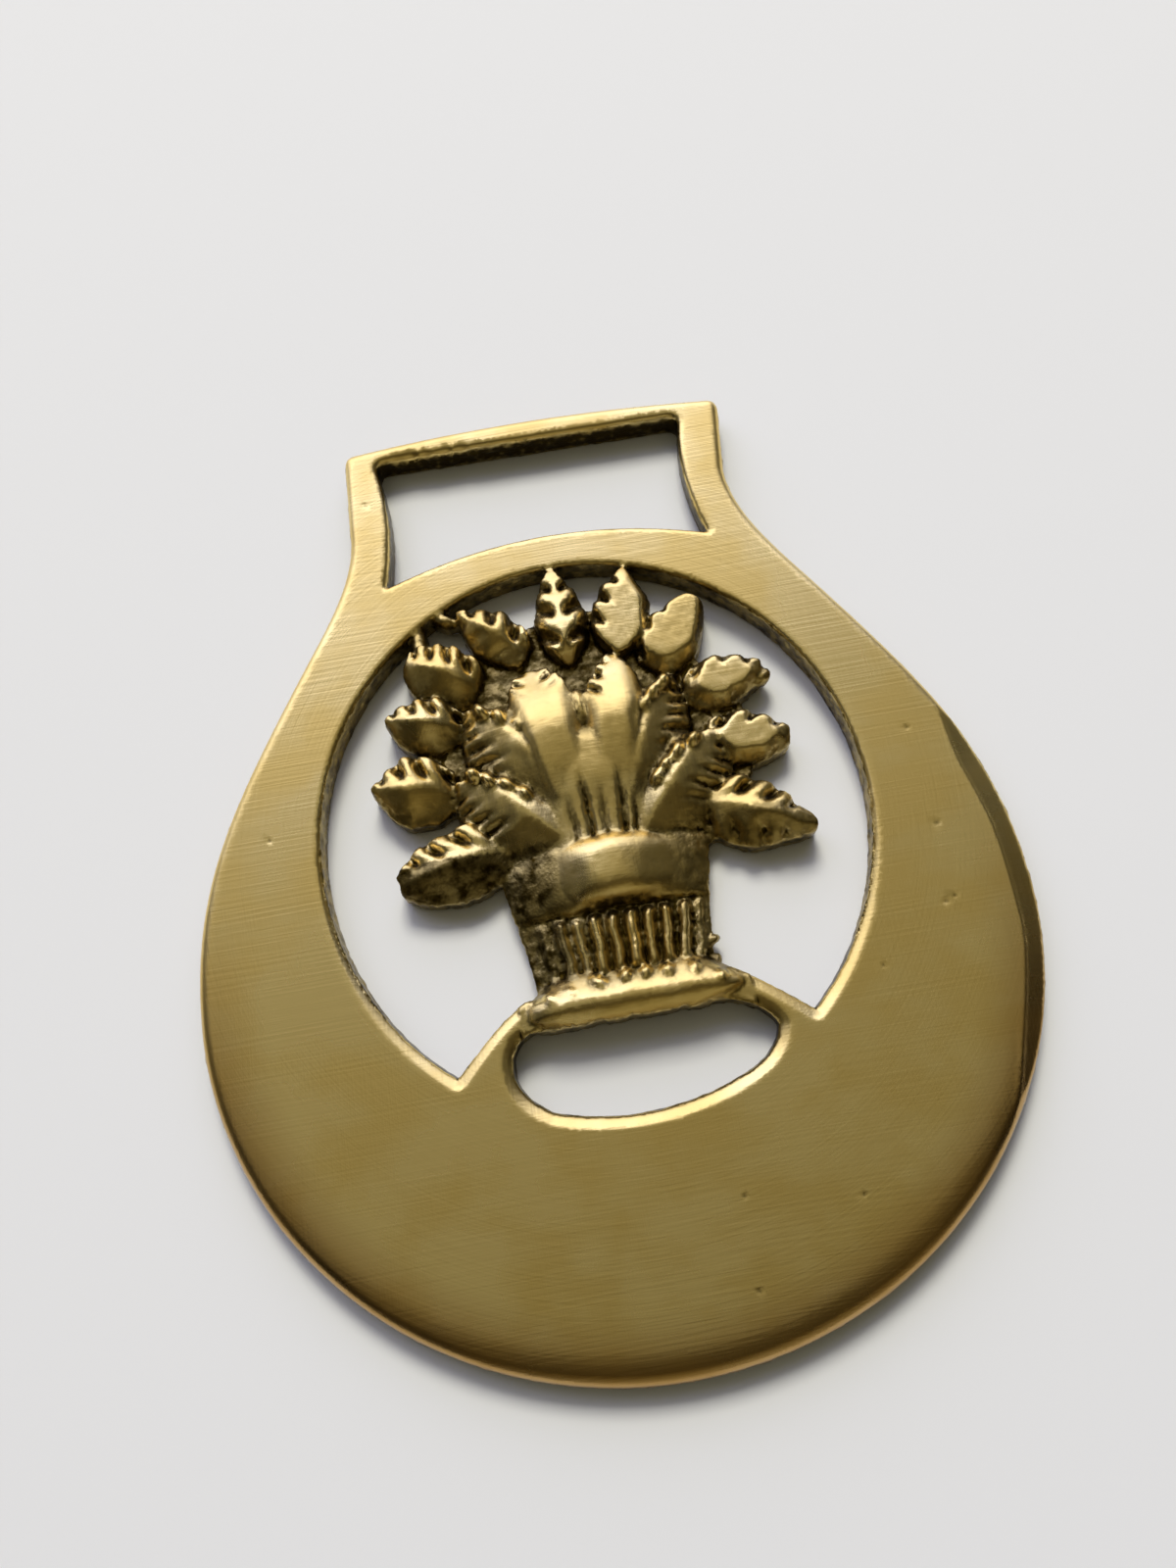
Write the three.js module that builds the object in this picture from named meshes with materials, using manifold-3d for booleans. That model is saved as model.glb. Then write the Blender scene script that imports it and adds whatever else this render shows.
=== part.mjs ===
// A horse brass: a crescent plate with a strap hanger, and a tied wheatsheaf standing in its opening.
// It is one casting. It lies on its flat back: +X to the right, +Y towards the hanger and +Z out of
// the front. Millimetres, with the origin under the middle of its box.

import * as THREE from 'three';
import { mergeVertices } from 'three/addons/utils/BufferGeometryUtils.js';
import Module from 'manifold-3d';

const wasm = await Module();
wasm.setup();

// Plate. All places below are measured from the middle of the round opening.
const PLATE_THICKNESS = 3.2;
const EDGE_ROUNDING = 0.6;
const EDGE_STEPS = 2;
const CURVE_STEPS = 14;
const HALF_WIDTH = 37.5;
const WIDEST_Y = -12;
const BOTTOM_Y = -47.2;
const SHOULDER = [25.1, 19.8];
const SHOULDER_HEADING = 123;
const SHOULDER_PULL_BELOW = 15.5;
const SHOULDER_PULL_ABOVE = 5;
const WAIST = [18.95, 33.5];
const WAIST_PULL = 5;
const SIDE_PULL = 12;

// Hanger: a thin bar over a slot for the strap. The bar was cast a little out of square.
const BAR_TOP_Y = 43;
const BAR_RIGHT_X = 19.8;
const BAR_LEFT_X = -18.6;
const BAR_CORNER_DROP = 0.9;
const BAR_CROWN = 0.85;
const BAR_SLOPE = -0.0195;
const SLOT_TOP_Y = 40.6;
const SLOT_TOP_HALF = 15.4;
const SLOT_WAIST_HALF = 14.9;
const SLOT_FOOT_HALF = 15.95;
const SLOT_FOOT_Y = 26.9;
const SLOT_CREST_Y = 29.6;
const SLOT_CORNER = 0.9;
const HANGER_CORNER = 1.3;

// Round opening, and the small D-shaped one that the sheaf's foot cuts off from it.
const OPENING_HALF_WIDTH = 25.2;
const OPENING_HALF_HEIGHT = 25.9;
const STRUT_TIP_LEFT = [-15.4, -20.5];
const STRUT_TIP_RIGHT = [16.1, -19.9];
const FOOT_TOP_Y = -15;
const FOOT_UNDERSIDE_Y = -17.8;
const FOOT_LEFT = -8.6;
const FOOT_RIGHT = 9.4;
const D_LEFT = [-10.6, -20.8];
const D_RIGHT = [12.8, -20.6];
const D_FOOT_LEFT = -7.6;
const D_FOOT_RIGHT = 9.2;

// Sheaf. Heights are above the flat back.
const SHEAF_X = 0.5;
const TIE_Y = -4.4;
const WEB_THICKNESS = 1.9;
const WEB_HALF_WIDTH = 16.4;
const WEB_REACH = 25;
const STUB_TOP_HALF = 9.3;
const STUB_FOOT_HALF = 7.8;
const OUTER_EAR_TOP = 4.1;
const INNER_EAR_TOP = 5.2;
const BAND_TOP = 6.1;
const BAND_HEIGHT = 6.2;
const STRAW_TOP = 4.7;
const STRAW_COUNT = 9;
const STRAW_PITCH = 1.62;
const ROLL_TOP = 4.9;
const ROLL_HEIGHT = 3.4;
const GRAIN_COUNT = 3;
const GRAIN_ANGLE = 46;
const CORE_HEIGHT = 1;
const STRAW_FORM = [[0.15, 0.5], [0.85, 0.5]];
const EAR_FORM = [[0.22, 0.38], [0.52, 0.54], [0.84, 0.4]];
const GRAIN_FORM = [[0.5, 0.5]];
const FAN = { x: 0.8, y: 1.5, halfWidth: 6.4, length: 19, crest: 4.8 };

// Ears, from the lowest on the left to the lowest on the right: the bearing and reach of each tip from
// the middle of the tie, the way the ear points, its length and width, and the side of it that carries
// grains (1 is the left side of an ear seen from its foot). Three of them reach the ring and hold to it.
const OUTER_EARS = [
  { bearing: 176, reach: 18.6, heading: 187, length: 10.5, width: 4.8, grains: [-1] },
  { bearing: 152, reach: 22.9, heading: 161, length: 10.5, width: 4.8, grains: [-1] },
  { bearing: 137, reach: 24.8, heading: 160, length: 9.6, width: 4.6, grains: [-1] },
  { bearing: 122, reach: 27.4, heading: 143, length: 9.4, width: 4.8, grains: [-1] },
  { bearing: 111, reach: 30.4, heading: 135, length: 10.4, width: 4.2, grains: [-1] },
  { bearing: 91, reach: 30.8, heading: 92, length: 10.4, width: 3.8, grains: [-1, 1] },
  { bearing: 76, reach: 29.2, heading: 73, length: 9.4, width: 4.4, grains: [1] },
  { bearing: 62, reach: 26.8, heading: 48, length: 8.6, width: 4.8, grains: [1] },
  { bearing: 44, reach: 24.2, heading: 14, length: 9.4, width: 4.6, grains: [1] },
  { bearing: 27, reach: 20.9, heading: -3, length: 8.8, width: 4.6, grains: [1] },
  { bearing: 2, reach: 19.4, heading: -17, length: 10.4, width: 4.8, grains: [1] },
];
const INNER_EARS = [
  { bearing: 141, reach: 15.2, heading: 149, length: 13, width: 5.2, grains: [-1] },
  { bearing: 121, reach: 19.0, heading: 127, length: 17, width: 5.4, grains: [-1] },
  { bearing: 101, reach: 18.9, heading: 104, length: 19, width: 5.2, grains: [] },
  { bearing: 79, reach: 19.1, heading: 82, length: 19, width: 4.8, grains: [] },
  { bearing: 62, reach: 18.6, heading: 62, length: 17, width: 5.0, grains: [1] },
  { bearing: 41, reach: 15.2, heading: 38, length: 13, width: 5.0, grains: [1] },
];
const STALK = { tip: [-13.5, 22.4], heading: 86, length: 4.6, width: 1.8 };

const EXTRUDE_DEPTH = 20;
const KEEP_SIZE = 200;

function degrees(angle) {
  return (angle * Math.PI) / 180;
}

function toSolid(geometry) {
  const bare = geometry.clone();
  bare.deleteAttribute('normal');
  bare.deleteAttribute('uv');
  const merged = mergeVertices(bare);
  const mesh = new wasm.Mesh({
    numProp: 3,
    vertProperties: new Float32Array(merged.attributes.position.array),
    triVerts: new Uint32Array(merged.index.array),
  });
  return new wasm.Manifold(mesh);
}

function toGeometry(solid) {
  const mesh = solid.getMesh();
  const geometry = new THREE.BufferGeometry();
  geometry.setAttribute('position', new THREE.BufferAttribute(mesh.vertProperties, 3));
  geometry.setIndex(new THREE.BufferAttribute(mesh.triVerts, 1));
  geometry.computeVertexNormals();
  return geometry;
}

// The height of the hanger's bar drops evenly from left to right.
function onBar(x, y) {
  return [x, y + BAR_SLOPE * x];
}

function headed(point, heading, distance) {
  const turn = degrees(heading);
  return [point[0] + Math.cos(turn) * distance, point[1] + Math.sin(turn) * distance];
}

// The outline runs anticlockwise from the widest point on the right.
function plateOutline() {
  const outline = new THREE.Shape();
  const [shoulderX, shoulderY] = SHOULDER;
  const [waistX, waistY] = WAIST;
  const sideY = WIDEST_Y + SIDE_PULL;
  const below = headed(SHOULDER, SHOULDER_HEADING, -SHOULDER_PULL_BELOW);
  const above = headed(SHOULDER, SHOULDER_HEADING, SHOULDER_PULL_ABOVE);
  const rightCorner = onBar(BAR_RIGHT_X, BAR_TOP_Y - BAR_CORNER_DROP);
  const leftCorner = onBar(BAR_LEFT_X, BAR_TOP_Y - BAR_CORNER_DROP);
  const topMiddle = onBar(0, BAR_TOP_Y + BAR_CROWN);
  outline.moveTo(HALF_WIDTH, WIDEST_Y);
  outline.bezierCurveTo(HALF_WIDTH, sideY, below[0], below[1], shoulderX, shoulderY);
  outline.bezierCurveTo(above[0], above[1], waistX, waistY - WAIST_PULL, waistX, waistY);
  outline.lineTo(rightCorner[0], rightCorner[1] - HANGER_CORNER);
  outline.quadraticCurveTo(...rightCorner, rightCorner[0] - HANGER_CORNER, rightCorner[1]);
  outline.quadraticCurveTo(...topMiddle, leftCorner[0] + HANGER_CORNER, leftCorner[1]);
  outline.quadraticCurveTo(...leftCorner, leftCorner[0], leftCorner[1] - HANGER_CORNER);
  outline.lineTo(-waistX, waistY);
  outline.bezierCurveTo(-waistX, waistY - WAIST_PULL, -above[0], above[1], -shoulderX, shoulderY);
  outline.bezierCurveTo(-below[0], below[1], -HALF_WIDTH, sideY, -HALF_WIDTH, WIDEST_Y);
  outline.absellipse(0, WIDEST_Y, HALF_WIDTH, WIDEST_Y - BOTTOM_Y, Math.PI, 2 * Math.PI, false);
  return outline;
}

function strapSlot() {
  const slot = new THREE.Path();
  const topRight = onBar(SLOT_TOP_HALF, SLOT_TOP_Y);
  const topLeft = onBar(-SLOT_TOP_HALF, SLOT_TOP_Y);
  const sideControl = 2 * SLOT_WAIST_HALF - (SLOT_TOP_HALF + SLOT_FOOT_HALF) / 2;
  const middleY = (SLOT_TOP_Y + SLOT_FOOT_Y) / 2;
  slot.moveTo(...onBar(SLOT_CORNER - SLOT_TOP_HALF, SLOT_TOP_Y));
  slot.quadraticCurveTo(...topLeft, topLeft[0], topLeft[1] - SLOT_CORNER);
  slot.quadraticCurveTo(-sideControl, middleY, -SLOT_FOOT_HALF, SLOT_FOOT_Y);
  slot.quadraticCurveTo(0, 2 * SLOT_CREST_Y - SLOT_FOOT_Y, SLOT_FOOT_HALF, SLOT_FOOT_Y);
  slot.quadraticCurveTo(sideControl, middleY, topRight[0], topRight[1] - SLOT_CORNER);
  slot.quadraticCurveTo(...topRight, ...onBar(SLOT_TOP_HALF - SLOT_CORNER, SLOT_TOP_Y));
  slot.closePath();
  return slot;
}

function openingAngle(point) {
  return Math.atan2(point[1] / OPENING_HALF_HEIGHT, point[0] / OPENING_HALF_WIDTH);
}

// Round the opening from the right strut's tip over the top to the left one, then along the foot.
function sheafOpening() {
  const opening = new THREE.Path();
  const start = openingAngle(STRUT_TIP_RIGHT);
  const end = openingAngle(STRUT_TIP_LEFT) + 2 * Math.PI;
  opening.absellipse(0, 0, OPENING_HALF_WIDTH, OPENING_HALF_HEIGHT, start, end, false);
  opening.quadraticCurveTo(FOOT_LEFT - 2.6, FOOT_TOP_Y - 1.2, FOOT_LEFT, FOOT_TOP_Y);
  opening.lineTo(FOOT_RIGHT, FOOT_TOP_Y);
  opening.quadraticCurveTo(FOOT_RIGHT + 2.4, FOOT_TOP_Y - 1.2, ...STRUT_TIP_RIGHT);
  return opening;
}

function onOpening(x) {
  const run = x / OPENING_HALF_WIDTH;
  return [x, -OPENING_HALF_HEIGHT * Math.sqrt(1 - run * run)];
}

function smallOpening() {
  const opening = new THREE.Path();
  const start = onOpening(D_FOOT_LEFT);
  const end = onOpening(D_FOOT_RIGHT);
  opening.moveTo(FOOT_LEFT, FOOT_UNDERSIDE_Y);
  opening.quadraticCurveTo(D_LEFT[0], FOOT_UNDERSIDE_Y - 0.6, ...D_LEFT);
  opening.quadraticCurveTo(D_LEFT[0] + 0.2, start[1] + 1.6, ...start);
  const turn = [openingAngle(start), openingAngle(end)];
  opening.absellipse(0, 0, OPENING_HALF_WIDTH, OPENING_HALF_HEIGHT, ...turn, false);
  opening.quadraticCurveTo(D_RIGHT[0] - 0.6, end[1] + 1.1, ...D_RIGHT);
  opening.quadraticCurveTo(D_RIGHT[0] - 0.6, FOOT_UNDERSIDE_Y - 1, FOOT_RIGHT - 0.6, FOOT_UNDERSIDE_Y);
  opening.closePath();
  return opening;
}

function extruded(shape, top, rounding, steps) {
  const geometry = new THREE.ExtrudeGeometry(shape, {
    depth: EXTRUDE_DEPTH,
    bevelThickness: rounding,
    bevelSize: rounding,
    bevelOffset: -rounding,
    bevelSegments: steps,
    curveSegments: CURVE_STEPS,
  });
  geometry.translate(0, 0, top - rounding - EXTRUDE_DEPTH);
  return toSolid(geometry);
}

function plate() {
  const shape = plateOutline();
  shape.holes.push(strapSlot(), sheafOpening(), smallOpening());
  return extruded(shape, PLATE_THICKNESS, EDGE_ROUNDING, EDGE_STEPS);
}

// The rough sheet of metal between the ears, and the stub of straw under the tie.
function web() {
  const shape = new THREE.Shape();
  shape.moveTo(SHEAF_X - STUB_FOOT_HALF, FOOT_TOP_Y - 1);
  shape.lineTo(SHEAF_X + STUB_FOOT_HALF, FOOT_TOP_Y - 1);
  shape.lineTo(SHEAF_X + STUB_TOP_HALF, TIE_Y);
  shape.lineTo(SHEAF_X + WEB_HALF_WIDTH * 0.7, TIE_Y + 1);
  shape.absellipse(SHEAF_X, TIE_Y, WEB_HALF_WIDTH, WEB_REACH, degrees(16), degrees(164), false);
  shape.lineTo(SHEAF_X - WEB_HALF_WIDTH * 0.7, TIE_Y + 1);
  shape.lineTo(SHEAF_X - STUB_TOP_HALF, TIE_Y);
  return extruded(shape, WEB_THICKNESS, 0.3, 1);
}

// A pointed oval lying along a heading, with its tip at a given place and its crest at a given height.
// Each station of its form is a distance back along it and a half width there, as shares.
function spindle(tip, row, crest, sides, form) {
  const profile = [new THREE.Vector2(0, 0)];
  for (const [along, half] of form) {
    profile.push(new THREE.Vector2(row.width * half, row.length * along));
  }
  profile.push(new THREE.Vector2(0, row.length));
  const geometry = new THREE.LatheGeometry(profile, sides);
  geometry.translate(0, -row.length, 0);
  geometry.scale(1, 1, (2 * (crest - CORE_HEIGHT)) / row.width);
  geometry.rotateZ(degrees(row.heading - 90));
  geometry.translate(tip[0], tip[1], CORE_HEIGHT);
  return toSolid(geometry);
}

// An ear: a ridged body, and grains that lie along its upper side like the bones of a herring.
function ear(row, crest) {
  const tip = headed([SHEAF_X, TIE_Y], row.bearing, row.reach);
  const length = row.width * 0.75;
  const parts = [spindle(tip, row, crest, 8, EAR_FORM)];
  for (const side of row.grains) {
    for (let n = 0; n < GRAIN_COUNT; n += 1) {
      const root = headed(tip, row.heading, -row.width * (0.8 + 0.5 * n));
      const heading = row.heading + side * GRAIN_ANGLE;
      const grain = { heading, length, width: row.width * 0.34 };
      parts.push(spindle(headed(root, heading, length), grain, crest - 0.3, 6, GRAIN_FORM));
    }
  }
  return parts;
}

// A smooth rounded form lying on the sheaf, such as the tie, the foot and the fan of straw.
function roll(x, y, halfWidth, height, crest) {
  const geometry = new THREE.SphereGeometry(1, 18, 10);
  geometry.scale(halfWidth, height / 2, crest - CORE_HEIGHT);
  geometry.translate(x, y, CORE_HEIGHT);
  return toSolid(geometry);
}

function straws() {
  const parts = [];
  for (let n = 0; n < STRAW_COUNT; n += 1) {
    const across = n - (STRAW_COUNT - 1) / 2;
    const foot = [SHEAF_X + across * STRAW_PITCH, FOOT_TOP_Y - 1];
    const straw = { heading: 270 + across * 1.2, length: 12, width: STRAW_PITCH * 1.2 };
    const crest = STRAW_TOP - 0.11 * across * across;
    parts.push(spindle(foot, straw, crest, 6, STRAW_FORM));
  }
  return parts;
}

function sheaf() {
  const parts = [web()];
  for (const row of OUTER_EARS) {
    parts.push(...ear(row, OUTER_EAR_TOP));
  }
  for (const row of INNER_EARS) {
    parts.push(...ear(row, INNER_EAR_TOP));
  }
  parts.push(...straws());
  parts.push(spindle(STALK.tip, STALK, PLATE_THICKNESS - 0.4, 6, GRAIN_FORM));
  parts.push(roll(FAN.x, FAN.y, FAN.halfWidth, FAN.length, FAN.crest));
  parts.push(roll(SHEAF_X, TIE_Y - 0.5, STUB_TOP_HALF, BAND_HEIGHT, BAND_TOP));
  parts.push(roll(SHEAF_X, (FOOT_TOP_Y + FOOT_UNDERSIDE_Y) / 2, 10.4, ROLL_HEIGHT, ROLL_TOP));
  return parts;
}

// Everything below the flat back is cut away, and the whole is set over the origin.
function casting() {
  let solid = plate();
  for (const part of sheaf()) {
    solid = solid.add(part);
  }
  const keep = new THREE.BoxGeometry(KEEP_SIZE, KEEP_SIZE, EXTRUDE_DEPTH);
  keep.translate(0, 0, EXTRUDE_DEPTH / 2);
  const geometry = toGeometry(solid.intersect(toSolid(keep)));
  geometry.computeBoundingBox();
  const middle = geometry.boundingBox.getCenter(new THREE.Vector3());
  geometry.translate(-middle.x, -middle.y, 0);
  return geometry;
}

const brass = new THREE.MeshStandardMaterial({ color: 0x9a8348, roughness: 0.35, metalness: 1 });
const horseBrass = new THREE.Mesh(casting(), brass);
horseBrass.name = 'horse_brass';

const group = new THREE.Group();
group.add(horseBrass);

export default group;
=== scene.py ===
# %% [markdown]
# # A horse brass with a wheatsheaf
# A horse brass is a flat ornament of cast yellow brass that hangs on a working horse's harness. It is
# one piece of metal: molten brass was poured into a sand mould, the sprue was cut off, the plate was
# filed and polished, and the figure was left mostly as cast. This notebook builds that one casting in
# the order a pattern maker would: the plate, the figure on it, the filing, and then years of wear.

import math

import bmesh
import bpy
from mathutils import Matrix, Vector, kdtree, noise


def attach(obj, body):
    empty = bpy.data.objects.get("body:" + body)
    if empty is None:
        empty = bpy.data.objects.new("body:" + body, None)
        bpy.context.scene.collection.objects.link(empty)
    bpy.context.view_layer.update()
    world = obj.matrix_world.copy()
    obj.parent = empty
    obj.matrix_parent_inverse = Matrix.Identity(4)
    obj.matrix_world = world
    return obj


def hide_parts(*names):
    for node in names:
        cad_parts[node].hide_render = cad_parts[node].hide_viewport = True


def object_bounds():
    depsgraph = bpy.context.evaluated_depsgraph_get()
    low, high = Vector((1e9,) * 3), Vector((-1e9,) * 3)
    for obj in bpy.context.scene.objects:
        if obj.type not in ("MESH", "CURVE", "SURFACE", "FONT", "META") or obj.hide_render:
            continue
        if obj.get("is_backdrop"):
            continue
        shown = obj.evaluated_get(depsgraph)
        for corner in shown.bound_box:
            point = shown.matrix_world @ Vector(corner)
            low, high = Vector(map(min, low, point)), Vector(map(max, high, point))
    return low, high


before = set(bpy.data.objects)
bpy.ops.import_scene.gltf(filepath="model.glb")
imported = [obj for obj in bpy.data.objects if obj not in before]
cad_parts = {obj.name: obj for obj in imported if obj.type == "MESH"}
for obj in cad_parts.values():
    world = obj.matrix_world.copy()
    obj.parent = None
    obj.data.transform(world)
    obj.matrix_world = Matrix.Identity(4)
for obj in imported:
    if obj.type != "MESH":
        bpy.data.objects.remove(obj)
cad_low, cad_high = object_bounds()
MM = 0.001
print("the solid measures", [round(side / MM, 1) for side in cad_high - cad_low], "mm")

# %% [markdown]
# The casting is drawn in millimetres from the middle of its round opening, because the ring, the fan
# of ears and the crescent are all laid out from there. One matrix carries that drawing into the frame.

# %% The drawing's own place
PLATE_BOTTOM_Y = -47.2
PLATE_THICKNESS = 3.2
opening_middle_y = cad_low.y / MM - PLATE_BOTTOM_Y
to_frame = Matrix.Scale(MM, 4) @ Matrix.Translation((0, opening_middle_y, 0))
print("the middle of the opening is at y =", round(opening_middle_y, 2), "mm")


def headed(point, heading, distance):
    """The place reached from a point by going some way along a heading, in degrees."""
    turn = math.radians(heading)
    return (point[0] + math.cos(turn) * distance, point[1] + math.sin(turn) * distance)


def blend(low, high, share):
    return low + (high - low) * share


def smooth_step(low, high, value):
    """0 below low, 1 above high, and an even S between them."""
    share = min(1.0, max(0.0, (value - low) / (high - low)))
    return share * share * (3 - 2 * share)


# %% [markdown]
# ## The outlines
# The plate's edge is a few long curves. They could be drawn as curve objects, but later steps need plain
# points to measure from. So each is a Bezier curve or an arc worked out here, sampled finely enough that
# no flat can be seen.

# %% Curves
CURVE_STEP = 0.5


def bezier(start, pull_a, pull_b, end):
    """Points along a cubic curve, without its last one, about half a millimetre apart."""
    corners = [Vector(p) for p in (start, pull_a, pull_b, end)]
    reach = sum((b - a).length for a, b in zip(corners, corners[1:]))
    count = max(2, round(reach / CURVE_STEP))
    points = []
    for n in range(count):
        t = n / count
        s = 1 - t
        weights = (s * s * s, 3 * s * s * t, 3 * s * t * t, t * t * t)
        points.append(sum((c * w for c, w in zip(corners, weights)), Vector((0, 0))))
    return points


def bend(start, pull, end):
    """The same for a curve with one pull."""
    a, b, c = Vector(start), Vector(pull), Vector(end)
    return bezier(a, a + (b - a) * 2 / 3, c + (b - c) * 2 / 3, c)


def arc(middle, half_width, half_height, start, end):
    """Points along part of an ellipse, without its last one, between two angles in radians."""
    count = max(2, round(abs(end - start) * max(half_width, half_height) / CURVE_STEP))
    turns = [start + (end - start) * n / count for n in range(count)]
    return [
        Vector((middle[0] + half_width * math.cos(t), middle[1] + half_height * math.sin(t)))
        for t in turns
    ]


print("curves have a point every", CURVE_STEP, "mm")

# %% [markdown]
# The crescent is half an ellipse under the widest line. From there one sweep runs up to each shoulder and
# a second one into the hanger's waist, and the hanger's bar arches a little between two rounded corners.
# Left and right are mirrored up to the waist, so only one side is given.

# %% The plate's outline
HALF_WIDTH = 37.5
WIDEST_Y = -12.0
SHOULDER = (25.1, 19.8)
SHOULDER_HEADING = 123
WAIST = (18.95, 33.5)
BAR_TOP_Y = 43.0
BAR_SLOPE = -0.0195
BAR_RIGHT_X = 19.8
BAR_LEFT_X = -18.6
HANGER_CORNER = 1.3


def on_bar(x, y):
    """The hanger's bar was cast a little out of square, so it drops evenly from left to right."""
    return Vector((x, y + BAR_SLOPE * x))


def mirrored(point):
    return Vector((-point[0], point[1]))


def plate_outline():
    widest = Vector((HALF_WIDTH, WIDEST_Y))
    shoulder, waist = Vector(SHOULDER), Vector(WAIST)
    side_pull = widest + Vector((0, 12))
    pull_below = Vector(headed(shoulder, SHOULDER_HEADING, -15.5))
    pull_above = Vector(headed(shoulder, SHOULDER_HEADING, 5))
    waist_pull = waist - Vector((0, 5))
    right = on_bar(BAR_RIGHT_X, BAR_TOP_Y - 0.9)
    left = on_bar(BAR_LEFT_X, BAR_TOP_Y - 0.9)
    right_low, right_high = right - Vector((0, HANGER_CORNER)), right - Vector((HANGER_CORNER, 0))
    left_low, left_high = left - Vector((0, HANGER_CORNER)), left + Vector((HANGER_CORNER, 0))
    points = bezier(widest, side_pull, pull_below, shoulder)
    points += bezier(shoulder, pull_above, waist_pull, waist)
    points += bezier(waist, waist, right_low, right_low)
    points += bend(right_low, right, right_high)
    points += bend(right_high, on_bar(0, BAR_TOP_Y + 0.85), left_high)
    points += bend(left_high, left, left_low)
    points += bezier(left_low, left_low, mirrored(waist), mirrored(waist))
    points += bezier(*[mirrored(p) for p in (waist, waist_pull, pull_above, shoulder)])
    points += bezier(*[mirrored(p) for p in (shoulder, pull_below, side_pull, widest)])
    points += arc((0, WIDEST_Y), HALF_WIDTH, WIDEST_Y - PLATE_BOTTOM_Y, math.pi, 2 * math.pi)
    return points


outline = plate_outline()
print("the outline has", len(outline), "points")

# %% [markdown]
# The strap slot is where the harness leather passes. Its upper wall is straight, because the strap bears
# on it, its sides bow inwards, and its lower edge follows the ring. Curves with one pull do for all of
# that, and short ones round the two upper corners.

# %% The strap slot
SLOT_TOP_Y, SLOT_FOOT_Y, SLOT_CREST_Y = 40.6, 26.9, 29.6
SLOT_TOP_HALF, SLOT_WAIST_HALF, SLOT_FOOT_HALF = 15.4, 14.9, 15.95
SLOT_CORNER = 0.9


def strap_slot():
    sides = 2 * SLOT_WAIST_HALF - (SLOT_TOP_HALF + SLOT_FOOT_HALF) / 2
    middle_y = (SLOT_TOP_Y + SLOT_FOOT_Y) / 2
    left, right = on_bar(-SLOT_TOP_HALF, SLOT_TOP_Y), on_bar(SLOT_TOP_HALF, SLOT_TOP_Y)
    left_wall, right_wall = left + Vector((SLOT_CORNER, 0)), right - Vector((SLOT_CORNER, 0))
    left_side, right_side = left - Vector((0, SLOT_CORNER)), right - Vector((0, SLOT_CORNER))
    foot_left, foot_right = (-SLOT_FOOT_HALF, SLOT_FOOT_Y), (SLOT_FOOT_HALF, SLOT_FOOT_Y)
    points = bend(left_wall, left, left_side)
    points += bend(left_side, (-sides, middle_y), foot_left)
    points += bend(foot_left, (0, 2 * SLOT_CREST_Y - SLOT_FOOT_Y), foot_right)
    points += bend(foot_right, (sides, middle_y), right_side)
    points += bend(right_side, right, right_wall)
    points += bezier(right_wall, right_wall, left_wall, left_wall)
    return points


slot_edge = strap_slot()
print("the strap slot's edge has", len(slot_edge), "points")

# %% [markdown]
# The round opening holds the figure. It is an ellipse, a little taller than wide, and it ends at two
# struts that run from the ring to the sheaf's foot. Each strut's upper edge sags a little, like a web of
# metal that was drawn thin.

# %% The round opening
OPENING = (25.2, 25.9)
STRUT_TIP_LEFT, STRUT_TIP_RIGHT = (-15.4, -20.5), (16.1, -19.9)
STRUT_SAG = 1.2
FOOT_TOP_Y, FOOT_UNDERSIDE_Y = -15.0, -17.8
FOOT_LEFT, FOOT_RIGHT = -8.6, 9.4


def opening_angle(point):
    return math.atan2(point[1] / OPENING[1], point[0] / OPENING[0])


def sheaf_opening():
    start = opening_angle(STRUT_TIP_RIGHT)
    end = opening_angle(STRUT_TIP_LEFT) + 2 * math.pi
    foot_left, foot_right = (FOOT_LEFT, FOOT_TOP_Y), (FOOT_RIGHT, FOOT_TOP_Y)
    points = arc((0, 0), OPENING[0], OPENING[1], start, end)
    points += bend(STRUT_TIP_LEFT, (FOOT_LEFT - 2.6, FOOT_TOP_Y - STRUT_SAG), foot_left)
    points += bezier(foot_left, foot_left, foot_right, foot_right)
    points += bend(foot_right, (FOOT_RIGHT + 2.4, FOOT_TOP_Y - STRUT_SAG), STRUT_TIP_RIGHT)
    return points


opening_edge = sheaf_opening()
print("the round opening's edge has", len(opening_edge), "points")

# %% [markdown]
# A small D-shaped opening is left under the foot. Its lower edge is more of the same ellipse, so the
# ring still reads as one circle through the struts.

# %% The small opening under the foot
D_LEFT, D_RIGHT = (-10.6, -20.8), (12.8, -20.6)
D_FOOT_LEFT, D_FOOT_RIGHT = -7.6, 9.2


def on_opening(x):
    """The lowest place of the ellipse at some distance to the side."""
    return Vector((x, -OPENING[1] * math.sqrt(1 - (x / OPENING[0]) ** 2)))


def small_opening():
    start, end = on_opening(D_FOOT_LEFT), on_opening(D_FOOT_RIGHT)
    top_left, top_right = (FOOT_LEFT, FOOT_UNDERSIDE_Y), (FOOT_RIGHT - 0.6, FOOT_UNDERSIDE_Y)
    points = bend(top_left, (D_LEFT[0], FOOT_UNDERSIDE_Y - 0.6), D_LEFT)
    points += bend(D_LEFT, (D_LEFT[0] + 0.2, start.y + 1.6), start)
    points += arc((0, 0), OPENING[0], OPENING[1], opening_angle(start), opening_angle(end))
    points += bend(end, (D_RIGHT[0] - 0.6, end.y + 1.1), D_RIGHT)
    points += bend(D_RIGHT, (D_RIGHT[0] - 0.6, FOOT_UNDERSIDE_Y - 1), top_right)
    points += bezier(top_right, top_right, top_left, top_left)
    return points


small_edge = small_opening()
print("the small opening's edge has", len(small_edge), "points")

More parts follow.
